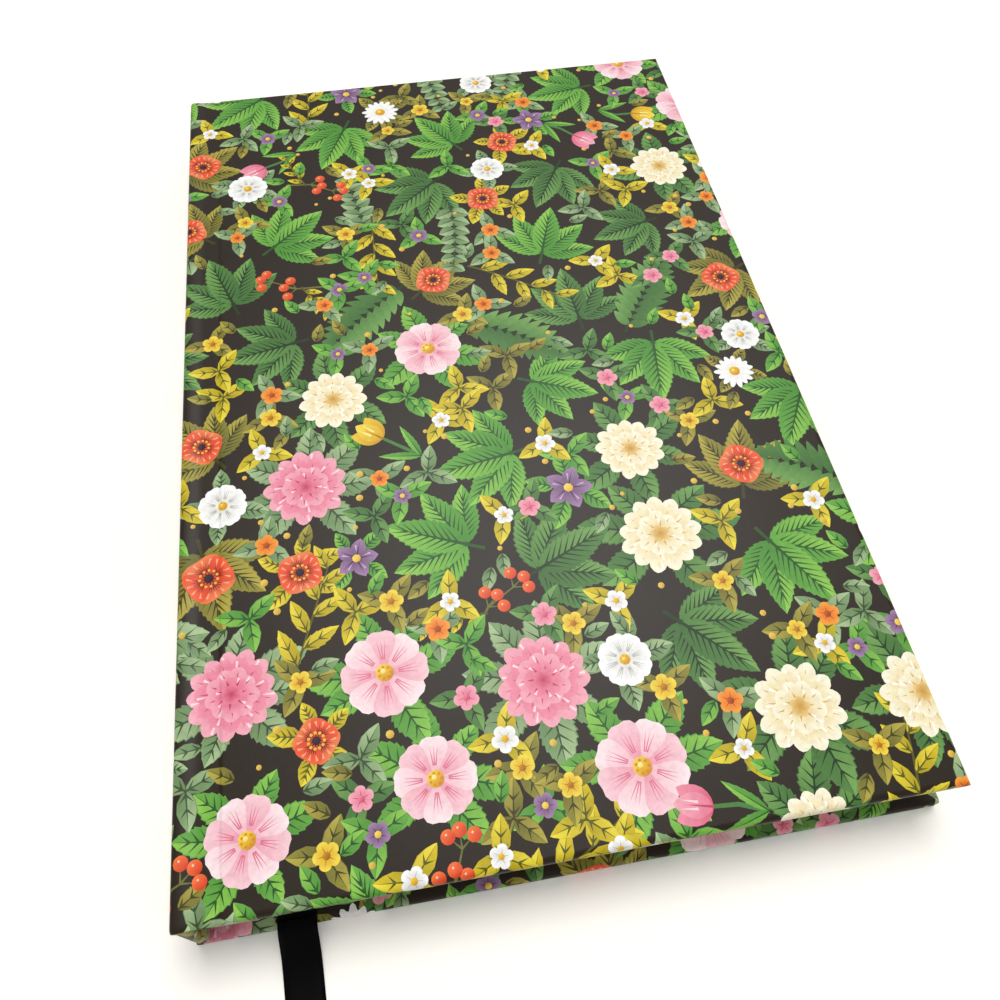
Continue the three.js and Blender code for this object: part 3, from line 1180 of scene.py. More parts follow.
@dataclass
class PrintedCase:
    """The printed sheet, wrapped round the spine and both covers in one piece and cut at mid-spine.

    Attributes:
        sizes: the case's sizes.
        ground: the ink between the painted shapes.
        arc_steps: flat strips in the rounding of an edge.
        spine_steps: flat strips in the rounding of a spine corner.
        fineness: how far an outline may be off, as a share of the step that replaces its point.
        crease: how far inside a rounding the face gets a line, so that its shading stays flat.
        lining_reach: how far from the spine's face the unprinted side is there.
        bend_reach: how far round the spine's corner the sheet bends when a cover turns; not used.
        sharp_degrees: bends past this angle are shaded as edges.
    """

    sizes: CaseSizes = field(default_factory=CaseSizes)
    ground: str = "#2b2219"
    arc_steps: int = 5
    spine_steps: int = 6
    fineness: float = 0.035
    crease: float = 0.35
    lining_reach: float = 11.0
    bend_reach: float = 1.3
    sharp_degrees: float = 38.0

    def __post_init__(self) -> None:
        """Works out where the sheet's runs begin, from mid-spine outwards."""
        s = self.sizes
        self.wall = s.thickness / 2 - s.spine_arris
        self.over_spine = self.wall + math.pi / 2 * s.spine_arris
        self.fore = self.over_spine + s.width - s.arris - s.spine_arris
        self.end = s.height / 2 - s.arris
        self.arc = math.pi / 2 * s.arris
        self.side = s.wrapped - 2 * s.arris
        self.round_edge = 2 * self.arc + self.side
        self.printed = self.round_edge + s.print_margin
        self.last = self.round_edge + s.turn_in - s.arris

    def run_of(self, x: float) -> float:
        """How far from mid-spine the sheet reaches that distance from the spine's face."""
        return self.over_spine + x - self.sizes.spine_arris

    def base(self, run: np.ndarray) -> tuple[np.ndarray, ...]:
        """Follows the sheet from mid-spine over the spine's corner and on, straight, across the board.

        Args:
            run: distances from mid-spine.

        Returns:
            Distance from the spine's face, depth below the cover's face, and the inward direction.
        """
        s = self.sizes
        turn = np.clip((run - self.wall) / s.spine_arris, 0, math.pi / 2)
        x = np.where(
            run < self.over_spine,
            s.spine_arris * (1 - np.cos(turn)),
            s.spine_arris + run - self.over_spine,
        )
        depth = np.where(
            run < self.wall, s.thickness / 2 - run, s.spine_arris * (1 - np.sin(turn))
        )
        sink = np.clip((x - s.groove_start) / s.groove_ease, 0, 1)
        rise = np.clip((s.setback + s.board_lap - x) / s.board_rise, 0, 1)
        depth = depth + s.groove_depth * eased(sink) * eased(rise)
        return x, depth, np.cos(turn), np.sin(turn)

    def wrapped_at(self, run: np.ndarray, x: np.ndarray) -> np.ndarray:
        """Finds the thickness that the sheet goes round: spine board, bare joint or cover board.

        Args:
            run: distances from mid-spine.
            x: distances from the spine's face.

        Returns:
            The thickness at each of them.
        """
        s = self.sizes
        spine = np.clip((s.thickness / 2 - s.spine_inset - run) / s.spine_ramp, 0, 1)
        board = eased(np.clip((x - s.setback + s.board_ramp) / s.board_ramp, 0, 1))
        at_spine = (s.spine_wrapped - s.joint_wrapped) * spine
        at_board = (s.wrapped - s.joint_wrapped) * board
        return s.joint_wrapped + at_spine + at_board

    def over_edge(self, past: np.ndarray, thick: np.ndarray) -> tuple[np.ndarray, np.ndarray]:
        """Follows the sheet round an edge and back inside.

        Args:
            past: distances past the start of the rounding.
            thick: thickness that it goes round.

        Returns:
            Distance out from the start of the rounding, and depth.
        """
        s = self.sizes
        small = np.minimum(s.arris, thick / 2)
        first = np.clip(past / self.arc, 0, 1) * math.pi / 2
        wall = np.clip((past - self.arc) / self.side, 0, 1)
        second = np.clip((past - self.arc - self.side) / self.arc, 0, 1) * math.pi / 2
        inside = np.maximum(past - self.round_edge, 0)
        out = s.arris * np.where(second > 0, np.cos(second), np.sin(first)) - inside
        depth = small * (1 - np.cos(first)) + wall * (thick - 2 * small) + small * np.sin(second)
        return out, depth

    def placed(
        self, x: np.ndarray, y: np.ndarray, depth: np.ndarray, run: np.ndarray, front: bool
    ) -> np.ndarray:
        """Turns distances on one half of the case into row-frame metres.

        Args:
            x: distance from the spine's face.
            y: towards the head.
            depth: below the cover's face.
            run: distance from mid-spine, for the shear across the spine.
            front: whether it is the front half.

        Returns:
            One row per point.
        """
        s = self.sizes
        skew = s.shift * np.clip(run / self.wall, 0, 1) * (1 if front else -1)
        z = s.thickness - depth if front else depth
        if not front:
            u = np.maximum(x - s.width + s.blunt, 0)
            v = np.maximum(np.abs(y) - s.height / 2 + s.blunt, 0)
            pull = 1 - np.maximum(u, v) / np.maximum(np.hypot(u, v), 1e-9)
            x = x - u * pull
            y = y - np.sign(y) * v * pull
        return np.stack([x - s.width / 2, y + skew, z], 1) * MM

    def wrap_face(self, flat: np.ndarray, front: bool, inset: float = 0.0) -> np.ndarray:
        """Places points of the outer face, of the joint and of the spine.

        Args:
            flat: places on the unwrapped sheet, from mid-spine.
            front: whether they are on the front half.
            inset: how far under the sheet's face they lie.

        Returns:
            One row per point, in metres.
        """
        run = np.abs(flat[:, 0])
        x, depth, in_x, in_depth = self.base(run)
        return self.placed(x + inset * in_x, flat[:, 1], depth + inset * in_depth, run, front)

    def wrap_end(self, flat: np.ndarray, front: bool) -> np.ndarray:
        """Places points past the start of the head's or tail's rounding.

        Args:
            flat: places on the unwrapped sheet, from mid-spine.
            front: whether they are on the front half.

        Returns:
            One row per point, in metres.
        """
        run = np.abs(flat[:, 0])
        x, depth, in_x, in_depth = self.base(run)
        side = np.sign(flat[:, 1])
        out, down = self.over_edge(np.abs(flat[:, 1]) - self.end, self.wrapped_at(run, x))
        return self.placed(x + down * in_x, side * (self.end + out), depth + down * in_depth, run, front)

    def wrap_fore(self, flat: np.ndarray, front: bool) -> np.ndarray:
        """Places points past the start of the fore-edge's rounding.

        Args:
            flat: places on the unwrapped sheet, from mid-spine.
            front: whether they are on the front half.

        Returns:
            One row per point, in metres.
        """
        run = np.abs(flat[:, 0])
        out, down = self.over_edge(run - self.fore, np.full_like(run, self.sizes.wrapped))
        x = self.sizes.width - self.sizes.arris + out
        return self.placed(x, flat[:, 1], down, run, front)

    def edge_lines(self) -> list[float]:
        """Lists the bends of a rounding.

        Returns:
            Their distances past its start.
        """
        inside = 0.4
        arc = [self.arc * i / self.arc_steps for i in range(self.arc_steps + 1)]
        far = [self.arc + self.side + a for a in arc]
        return arc + far + [self.round_edge + inside, self.printed]

    def bend_lines(self) -> list[float]:
        """Lists the bends at the spine's corner, along the joint and up to the board.

        Returns:
            Their distances from mid-spine.
        """
        s = self.sizes
        steps = self.spine_steps
        arc = [self.wall + math.pi / 2 * s.spine_arris * i / steps for i in range(steps + 1)]
        ramp = [s.thickness / 2 - s.spine_inset - s.spine_ramp * k / 2 for k in (0, 1, 2)]
        sink = (1.4, 1.9, 2.4, 2.9, 3.4, 3.9, 4.6)
        rise = (6.0, 6.5, 7.0, 7.5, 8.0, 8.15, 8.3, 8.45, 8.6, 8.75, 8.85)
        return sorted(arc + ramp + [self.run_of(x) for x in sink + rise])

    def cut(
        self, patches: list[Patch], low: Point, high: Point, cross: list[float], rows: list[float]
    ) -> tuple[np.ndarray, list, np.ndarray]:
        """Cuts one rectangle of the sheet into triangles along every painted outline and every bend.

        Args:
            patches: the painted shapes, in painting order.
            low: the rectangle's lowest corner.
            high: its highest corner.
            cross: places of the bends that run along the head to tail direction.
            rows: places of the bends that run the other way.

        Returns:
            Flat points, triangles, and a colour for each triangle's corners.
        """
        kept = [p for p in patches if (p.outline.min(0) < high).all() and (p.outline.max(0) > low).all()]
        lines = [((x, low[1]), (x, high[1])) for x in {low[0], high[0], *cross} if low[0] <= x <= high[0]]
        lines += [((low[0], y), (high[0], y)) for y in {low[1], high[1], *rows} if low[1] <= y <= high[1]]
        border = [p for pair in sorted(lines) for p in pair]
        points: list[Point] = []
        faces = []
        for patch in kept:
            faces.append(list(range(len(points), len(points) + len(patch.outline))))
            points.extend(map(tuple, patch.outline))
        flat, tris, ids = self.triangles(points, [], faces, border)
        middle = flat[tris].mean(1)
        inside = ((middle > low) & (middle < high)).all(1)
        top = self.topmost(ids, middle, kept)
        points, edges = self.seen_lines(flat, tris[inside], top[inside], kept)
        known = BVHTree.FromPolygons(np.pad(flat, ((0, 0), (0, 1))).tolist(), tris.tolist())
        flat, tris, _ = self.triangles(points, edges, [], border)
        spots = np.pad(flat[tris].mean(1), ((0, 0), (0, 1)))
        top = top[[known.find_nearest(spot)[2] for spot in spots.tolist()]]
        foot = np.array([p.foot for p in kept] + [(0, 0)])
        reach = np.array([p.reach for p in kept] + [(1, 0)])
        first = np.array([linear(p.tone.foot) for p in kept] + [linear(self.ground)])
        second = np.array([linear(p.tone.tip) for p in kept] + [linear(self.ground)])
        away = ((flat[tris] - foot[top][:, None]) * reach[top][:, None]).sum(2)
        share = np.clip(away / (reach[top] ** 2).sum(1)[:, None], 0, 1)[..., None]
        colour = first[top][:, None] * (1 - share) + second[top][:, None] * share
        return flat, tris, colour

    def triangles(
        self, points: list[Point], edges: list, faces: list, border: list[Point]
    ) -> tuple[np.ndarray, np.ndarray, list]:
        """Fills the plane between outlines and bend lines with triangles.

        Args:
            points: the corners.
            edges: pairs of corners that stay joined.
            faces: rings of corners.
            border: both ends of each bend line in turn.

        Returns:
            Points, triangles, and the rings that each triangle lies in.
        """
        bends = [(len(points) + i, len(points) + i + 1) for i in range(0, len(border), 2)]
        spots = [Vector(p) for p in points + border]
        out = delaunay_2d_cdt(spots, edges + bends, faces, 0, 1e-5, bool(faces))
        return np.array([tuple(v) for v in out[0]]), np.array(out[2]), out[5]

    def topmost(self, ids: list[list[int]], spots: np.ndarray, kept: list[Patch]) -> np.ndarray:
        """Finds the last painted shape at each spot.

        Args:
            ids: the shapes that the cutting names there; now and then one has run out of its outline.
            spots: the places.
            kept: the shapes.

        Returns:
            The shapes' numbers, or -1 for bare ground.
        """
        owner = np.repeat(np.arange(len(ids)), [len(i) for i in ids])
        shape = np.array([i for named in ids for i in named])
        longest = max(len(p.outline) for p in kept)
        rings = np.array(
            [np.pad(p.outline, ((0, longest - len(p.outline)), (0, 0)), "edge") for p in kept]
        )
        x, y = spots[owner].T
        odd = np.zeros(len(owner), bool)
        for k in range(longest):
            (ax, ay), (bx, by) = rings[shape, k - 1].T, rings[shape, k].T
            rise = np.where(by == ay, 1, by - ay)
            odd ^= ((ay > y) != (by > y)) & (x < ax + (bx - ax) * (y - ay) / rise)
        top = np.full(len(ids), -1)
        np.maximum.at(top, owner[odd], shape[odd])
        return top

    def seen_lines(
        self, flat: np.ndarray, tris: np.ndarray, top: np.ndarray, kept: list[Patch]
    ) -> tuple[list[Point], list[tuple[int, int]]]:
        """Keeps the outlines that show, without the points that they can spare.

        Args:
            flat: the points.
            tris: the triangles.
            top: the shape that shows in each triangle.
            kept: the shapes.

        Returns:
            Points, and pairs of them that stay joined.
        """
        plain: dict[str, int] = {}
        group = list(range(len(kept)))
        for i, patch in enumerate(kept):
            if patch.tone.foot == patch.tone.tip:
                group[i] = plain.setdefault(patch.tone.foot, i)
        label = np.tile(np.array(group + [-1])[top], 3)
        pairs = np.sort(np.concatenate([tris[:, [0, 1]], tris[:, [1, 2]], tris[:, [2, 0]]]), 1)
        order = np.lexsort((pairs[:, 1], pairs[:, 0]))
        pairs, label = pairs[order], label[order]
        seam = (pairs[1:] == pairs[:-1]).all(1) & (label[1:] != label[:-1])
        near: dict[int, set[int]] = {}
        for a, b in pairs[1:][seam].tolist():
            near.setdefault(a, set()).add(b)
            near.setdefault(b, set()).add(a)
        spot = flat.tolist()
        for v in sorted(near):
            if len(near[v]) != 2:
                continue
            a, b = near[v]
            dx, dy = spot[b][0] - spot[a][0], spot[b][1] - spot[a][1]
            off = abs(dx * (spot[v][1] - spot[a][1]) - dy * (spot[v][0] - spot[a][0]))
            if b not in near[a] and off < self.fineness * math.hypot(dx, dy):
                near[a] = near[a] - {v} | {b}
                near[b] = near[b] - {v} | {a}
                del near[v]
        place = {v: i for i, v in enumerate(near)}
        joined = [(place[a], place[b]) for a in near for b in near[a] if a < b]
        return [tuple(spot[v]) for v in near], joined

    def sheet(self, patches: list[Patch], front: bool) -> bmesh.types.BMesh:
        """Builds one half of the printed sheet in place.

        Args:
            patches: the painted shapes.
            front: whether it is the front half.

        Returns:
            A bmesh with the inks on its corners.
        """
        s = self.sizes
        sign = 1 if front else -1
        half = Rectangles(self, patches, front)
        bends = [sign * b for b in self.bend_lines()]
        edges = self.edge_lines()
        inner = self.end - self.crease
        before_fore = sign * self.fore - sign * self.crease
        far = (self.fore, self.end)
        parts = [half.cut((0, -self.end), far, bends + [before_fore], [-inner, inner], self.wrap_face)]
        for side in (1, -1):
            rows = [side * (self.end + e) for e in edges]
            ends = sorted((side * self.end, side * (self.end + self.last)))
            strip = half.cut((0, ends[0]), (self.fore + s.arris, ends[1]), bends, rows, self.wrap_end)
            self.trim(strip, self.mitre(side, front), Vector((1, -side, 0)))
            parts.append(strip)
        cross = [sign * (self.fore + e) for e in edges]
        reach = self.end + s.arris
        far = (self.fore + self.last, reach)
        strip = half.cut((self.fore, -reach), far, cross, [-self.end, self.end], self.wrap_fore)
        for side in (1, -1):
            self.trim(strip, self.mitre(side, front), Vector((-1, side, 0)))
        parts.append(strip)
        whole = bmesh.new()
        for piece in parts:
            absorb(whole, piece)
        bmesh.ops.remove_doubles(whole, verts=whole.verts, dist=0.002 * MM)
        return whole

    def mitre(self, side: int, front: bool) -> Vector:
        """Finds where the turn-ins of the fore-edge and of one end meet.

        Args:
            side: 1 for the head's corner, -1 for the tail's.
            front: whether it is on the front cover.

        Returns:
            A point of the mitre, in metres.
        """
        s = self.sizes
        shift = s.shift if front else -s.shift
        return Vector((s.width / 2 - s.arris, side * self.end + shift, 0)) * MM

    def trim(self, piece: bmesh.types.BMesh, point: Vector, normal: Vector) -> None:
        """Cuts away what lies on the normal's side of a mitre, only near that corner.

        Args:
            piece: one strip of the sheet.
            point: a point of the mitre.
            normal: points to what is cut away.
        """
        reach = 20 * MM
        near = [v for v in piece.verts if abs(v.co.y - point.y) < reach and v.co.x > point.x - reach]
        # A dict's keys keep their order, so that each run cuts in the same one.
        faces = dict.fromkeys(f for v in near for f in v.link_faces)
        verts = dict.fromkeys(v for f in faces for v in f.verts)
        edges = dict.fromkeys(e for f in faces for e in f.edges)
        bmesh.ops.bisect_plane(
            piece,
            geom=[*verts, *edges, *faces],
            dist=0.0005 * MM,
            plane_co=point,
            plane_no=normal.normalized(),
            clear_outer=True,
        )

    def lining(self, front: bool) -> bmesh.types.BMesh:
        """Builds the sheet's unprinted side across the spine and joint, where the hollow shows it.

        Args:
            front: whether it is the front half.

        Returns:
            A bmesh in place.
        """
        margin = 0.5
        lines = [0.0, *self.bend_lines(), self.run_of(self.lining_reach)]
        count = len(lines) - 1
        sheet = bmesh.new()
        bmesh.ops.create_grid(sheet, x_segments=count, y_segments=2, size=1.0)
        flat = np.array(
            [(lines[round((v.co.x + 1) / 2 * count)], v.co.y * (self.end - margin)) for v in sheet.verts]
        )
        for vert, place in zip(sheet.verts, self.wrap_face(flat, front, self.sizes.paper)):
            vert.co = place
        bmesh.ops.recalc_face_normals(sheet, faces=sheet.faces)
        inward = sum((f.normal for f in sheet.faces if abs(f.normal.z) > 0.9), Vector()).z
        if (inward > 0) == front:
            bmesh.ops.reverse_faces(sheet, faces=sheet.faces)
        return sheet

    def spine_board(self) -> None:
        """Replaces the spine board with one that leans as the sheet glued to it does."""
        low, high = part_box("spine_board")
        made = bmesh.new()
        for vert in add_box(made, low, high):
            vert.co.y += self.sizes.shift * (vert.co.z - self.sizes.thickness / 2 * MM) / self.wall
        piece = finished("leaning_spine_board", made, (Finish.GREYBOARD,))
        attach(piece, "spine")
        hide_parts("spine_board")

    def build(self) -> None:
        """Paints, wraps and dresses both halves."""
        self.spine_board()
        reach = self.fore + self.last
        meadow = Meadow((-reach, -self.end - self.last), (reach, self.end + self.last))
        patches = meadow.paint()
        for front in (True, False):
            self.half(patches, front)

    def half(self, patches: list[Patch], front: bool) -> None:
        """Builds one half of the sheet.

        Args:
            patches: the painted shapes.
            front: whether it is the front half.
        """
        sheet = self.sheet(patches, front)
        printed = len(sheet.faces)
        absorb(sheet, self.lining(front))
        sheet.faces.ensure_lookup_table()
        for face in sheet.faces[printed:]:
            face.material_index = 1
        name = "front_printed_sheet" if front else "back_printed_sheet"
        dress = (Finish.PRINT, Finish.SHEET_BACK)
        piece = finished(name, sheet, dress, smooth=True)
        piece.data.set_sharp_from_angle(angle=math.radians(self.sharp_degrees))
        if front:
            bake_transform(piece)
            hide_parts("front_cover_paper", "spine_cover_paper")
        else:
            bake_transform(piece)
            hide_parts("back_cover_paper")


def settle(made: bmesh.types.BMesh) -> None:
    """Puts points and faces in one fixed order, since the operators' own differs from run to run.

    Args:
        made: the bmesh.
    """
    points = {v: i for i, v in enumerate(sorted(made.verts, key=lambda v: tuple(v.co)))}
    made.verts.sort(key=points.get)
    made.verts.index_update()
    by_corners = sorted(made.faces, key=lambda f: sorted(v.index for v in f.verts))
    faces = {f: i for i, f in enumerate(by_corners)}
    made.faces.sort(key=faces.get)


def finished(
    name: str, made: bmesh.types.BMesh, finishes: tuple[Finish, ...], smooth: bool = False
) -> bpy.types.Object:
    """Turns a bmesh in place into a dressed piece at the origin.

    Args:
        name: the piece's name.
        made: the bmesh, in row-frame metres; it is freed.
        finishes: what it wears, in the order of its material numbers.
        smooth: whether its faces are shaded smooth.

    Returns:
        The object, linked to the scene.
    """
    if smooth:
        for face in made.faces:
            face.smooth = True
    mesh = bpy.data.meshes.new(name)
    made.to_mesh(mesh)
    made.free()
    for finish in finishes:
        mesh.materials.append(finish.material())
    piece = bpy.data.objects.new(name, mesh)
    bpy.context.scene.collection.objects.link(piece)
    log.info("%s: %d faces", name, len(mesh.polygons))
    return piece


@dataclass
class Block:
    """The sewn block: twelve sections of four folded sheets, and the two flyleaves.

    Attributes:
        fold_x: spine's face to the folds.
        page_width: fold to fore-edge.
        page_height: head to tail.
        sections: how many sections are sewn together.
        sheets: folded sheets in a section.
        leaf: thickness of a leaf with the air beside it.
        air: the air's share of that.
        least_fold: smallest inner radius of a fold.
        fold_steps: flat strips in a fold's half turn.
        case_width: spine's face to fore-edge of the case.
        bend: how far from the folds the leaves bend when the book opens.
        bend_steps: flat strips in that stretch.
        bend_bias: above 1 for narrower strips near the folds.
        sewn: how far from the folds the stitches hold the leaves down; not used.
    """

    fold_x: float = 3.85
    page_width: float = 132.5
    page_height: float = 208.0
    sections: int = 12
    sheets: int = 4
    leaf: float = 0.08
    air: float = 0.008
    least_fold: float = 0.004
    fold_steps: int = 6
    case_width: float = 140.0
    bend: float = 12.0
    bend_steps: int = 8
    bend_bias: float = 1.3
    sewn: float = 0.4

    def folded_sheet(self, made: bmesh.types.BMesh, low: float, high: float) -> None:
        """Adds one folded sheet: two leaves joined by a round fold at the spine.

        Args:
            made: the bmesh that it is added to.
            low: height of the sheet's underside.
            high: height of its upper side.
        """
        x0 = self.fold_x - self.case_width / 2
        x1 = x0 + self.page_width
        radius = (high - low) / 2
        middle = (high + low) / 2
        outer = self.side_points(x0, x1, middle, radius)
        thick = self.leaf - self.air
        inner = self.side_points(x0, x1, middle, max(radius - thick, self.least_fold), radius)
        y = self.page_height / 2
        face = [made.verts.new((x * MM, -y * MM, z * MM)) for x, z in outer]
        back = [made.verts.new((x * MM, -y * MM, z * MM)) for x, z in inner[::-1]][::-1]
        strips = zip(face, back, back[1:], face[1:])
        caps = [made.faces.new(corners) for corners in strips]
        grown = bmesh.ops.extrude_face_region(made, geom=caps, use_keep_orig=True)
        moved = [g for g in grown["geom"] if isinstance(g, bmesh.types.BMVert)]
        bmesh.ops.translate(made, verts=moved, vec=(0, 2 * y * MM, 0))

    def side_points(
        self, x0: float, x1: float, middle: float, radius: float, set_in: float | None = None
    ) -> list[Point]:
        """Draws one face of a folded sheet in section.

        Args:
            x0: the fold's outermost point.
            x1: the fore-edge.
            middle: height of the fold's middle.
            radius: of the fold on this face.
            set_in: the fold's middle is this far inside x0, if not by the radius.

        Returns:
            Points from the lower leaf's fore-edge round the fold to the upper's.
        """
        centre = x0 + (radius if set_in is None else set_in)
        steps = [centre + step for step in self.bend_places()[::-1]]
        lower = [(x1, middle - radius)] + [(x, middle - radius) for x in steps]
        turns = [math.pi * i / self.fold_steps for i in range(self.fold_steps + 1)]
        arc = [(centre - radius * math.sin(a), middle - radius * math.cos(a)) for a in turns]
        upper = [(x, middle + radius) for x in steps[::-1]] + [(x1, middle + radius)]
        return lower + arc + upper

    def bend_places(self) -> list[float]:
        """Lists the ends of the flat strips in which a leaf bends.

        Returns:
            Their distances from the fold, nearest first.
        """
        steps = self.bend_steps
        return [self.bend * (i / steps) ** self.bend_bias for i in range(1, steps + 1)]

    def section(self, number: int) -> None:
        """Replaces one signature with its folded sheets, cut into strips where they would bend up from the
        spine.

        Args:
            number: the section's number, from the front cover.
        """
        node = f"signature_{number:02d}"
        low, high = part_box(node)
        made = bmesh.new()
        for i in range(self.sheets):
            self.folded_sheet(made, low[2] / MM + i * self.leaf, high[2] / MM - i * self.leaf)
        bmesh.ops.recalc_face_normals(made, faces=made.faces)
        past_fold = low[0] + 1 * MM
        for face in made.faces:
            fore_edge = abs(face.normal.z) < 0.5 and face.calc_center_median().x > past_fold
            face.material_index = int(fore_edge or abs(face.normal.y) > 0.9)
        settle(made)
        body = f"section_{number:02d}"
        piece = finished(f"{body}_sheets", made, (Finish.PAGE, Finish.PAGE_EDGE))
        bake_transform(piece)
        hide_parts(node)

    def flyleaf(self, side: str) -> None:
        """Replaces a flyleaf with a sheet cut into strips where it would bend up from the shoulder.

        Args:
            side: front or back.
        """
        low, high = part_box(f"{side}_flyleaf")
        made = bmesh.new()
        add_box(made, low, high)
        for step in self.bend_places():
            place = (low[0] + step * MM, 0, 0)
            geom = [*made.verts, *made.edges, *made.faces]
            bmesh.ops.bisect_plane(made, geom=geom, plane_co=place, plane_no=(1, 0, 0))
        piece = finished(f"{side}_flyleaf_sheet", made, (Finish.ENDPAPER,))
        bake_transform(piece)
        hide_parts(f"{side}_flyleaf")

    def build(self) -> None:
        """Builds all sections and both flyleaves."""
        for number in range(1, self.sections + 1):
            self.section(number)
        for side in ("front", "back"):
            self.flyleaf(side)


@dataclass
class Headbands:
    """Cotton bands at head and tail: a thread-wound bead on a glued tape.

    Attributes:
        radius: of the bead.
        pitch: along the bead, from one turn of thread to the next.
        turn_steps: rings of points in a turn.
        dip: how much thinner the bead is between two turns, as a share of its radius.
        sides: round the bead.
        tape: thickness of the tape.
        tape_drop: how far below the bead's top the tape ends.
        sharp_degrees: bends past this angle are shaded as edges.
    """

    radius: float = 0.8
    pitch: float = 0.56
    turn_steps: int = 4
    dip: float = 0.1
    sides: int = 20
    tape: float = 0.25
    tape_drop: float = 0.5
    sharp_degrees: float = 50.0

    def build(self) -> None:
        """Builds both bands."""
        self.band("headband", 1)
        self.band("tailband", -1)

    def band(self, node: str, side: int) -> None:
        """Replaces one band with a wound one.

        Args:
            node: the band's node.
            side: 1 at the head, -1 at the tail.
        """
        low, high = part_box(node)
        made = bmesh.new()
        edge = high[1] if side > 0 else low[1]
        centre = Vector((high[0] - self.radius * MM, edge - side * self.radius * MM, 0))
        self.bead(made, centre, low[2], high[2])
        near = edge - side * self.tape_drop * MM
        bottom, top = (low[1], near) if side > 0 else (near, high[1])
        add_box(made, (low[0], bottom, low[2]), (low[0] + self.tape * MM, top, high[2]))
        bmesh.ops.recalc_face_normals(made, faces=made.faces)
        settle(made)
        piece = finished(f"{node}_wound", made, (Finish.HEADBAND,), smooth=True)
        piece.data.set_sharp_from_angle(angle=math.radians(self.sharp_degrees))
        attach(piece, "spine")
        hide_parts(node)

    def bead(self, made: bmesh.types.BMesh, centre: Vector, bottom: float, top: float) -> None:
        """Spins the bead, swollen at each turn of its thread.

        Args:
            made: the bmesh that it is added to.
            centre: a point of its axis.
            bottom: height of its lower end.
            top: height of its upper end.
        """
        length = top - bottom
        rings = round(length / MM / self.pitch) * self.turn_steps
        profile = [Vector((0, 0, bottom))]
        for i in range(rings + 1):
            swell = 1 - self.dip + self.dip * abs(math.sin(math.pi * i / self.turn_steps))
            profile.append(Vector((self.radius * MM * swell, 0, bottom + length * i / rings)))
        profile.append(Vector((0, 0, top)))
        verts = [made.verts.new(centre + p) for p in profile]
        edges = [made.edges.new(pair) for pair in zip(verts, verts[1:])]
        bmesh.ops.spin(
            made,
            geom=verts + edges,
            cent=centre,
            axis=(0, 0, 1),
            angle=math.tau,
            steps=self.sides,
            use_merge=True,
        )
        bmesh.ops.remove_doubles(made, verts=made.verts, dist=0.001 * MM)


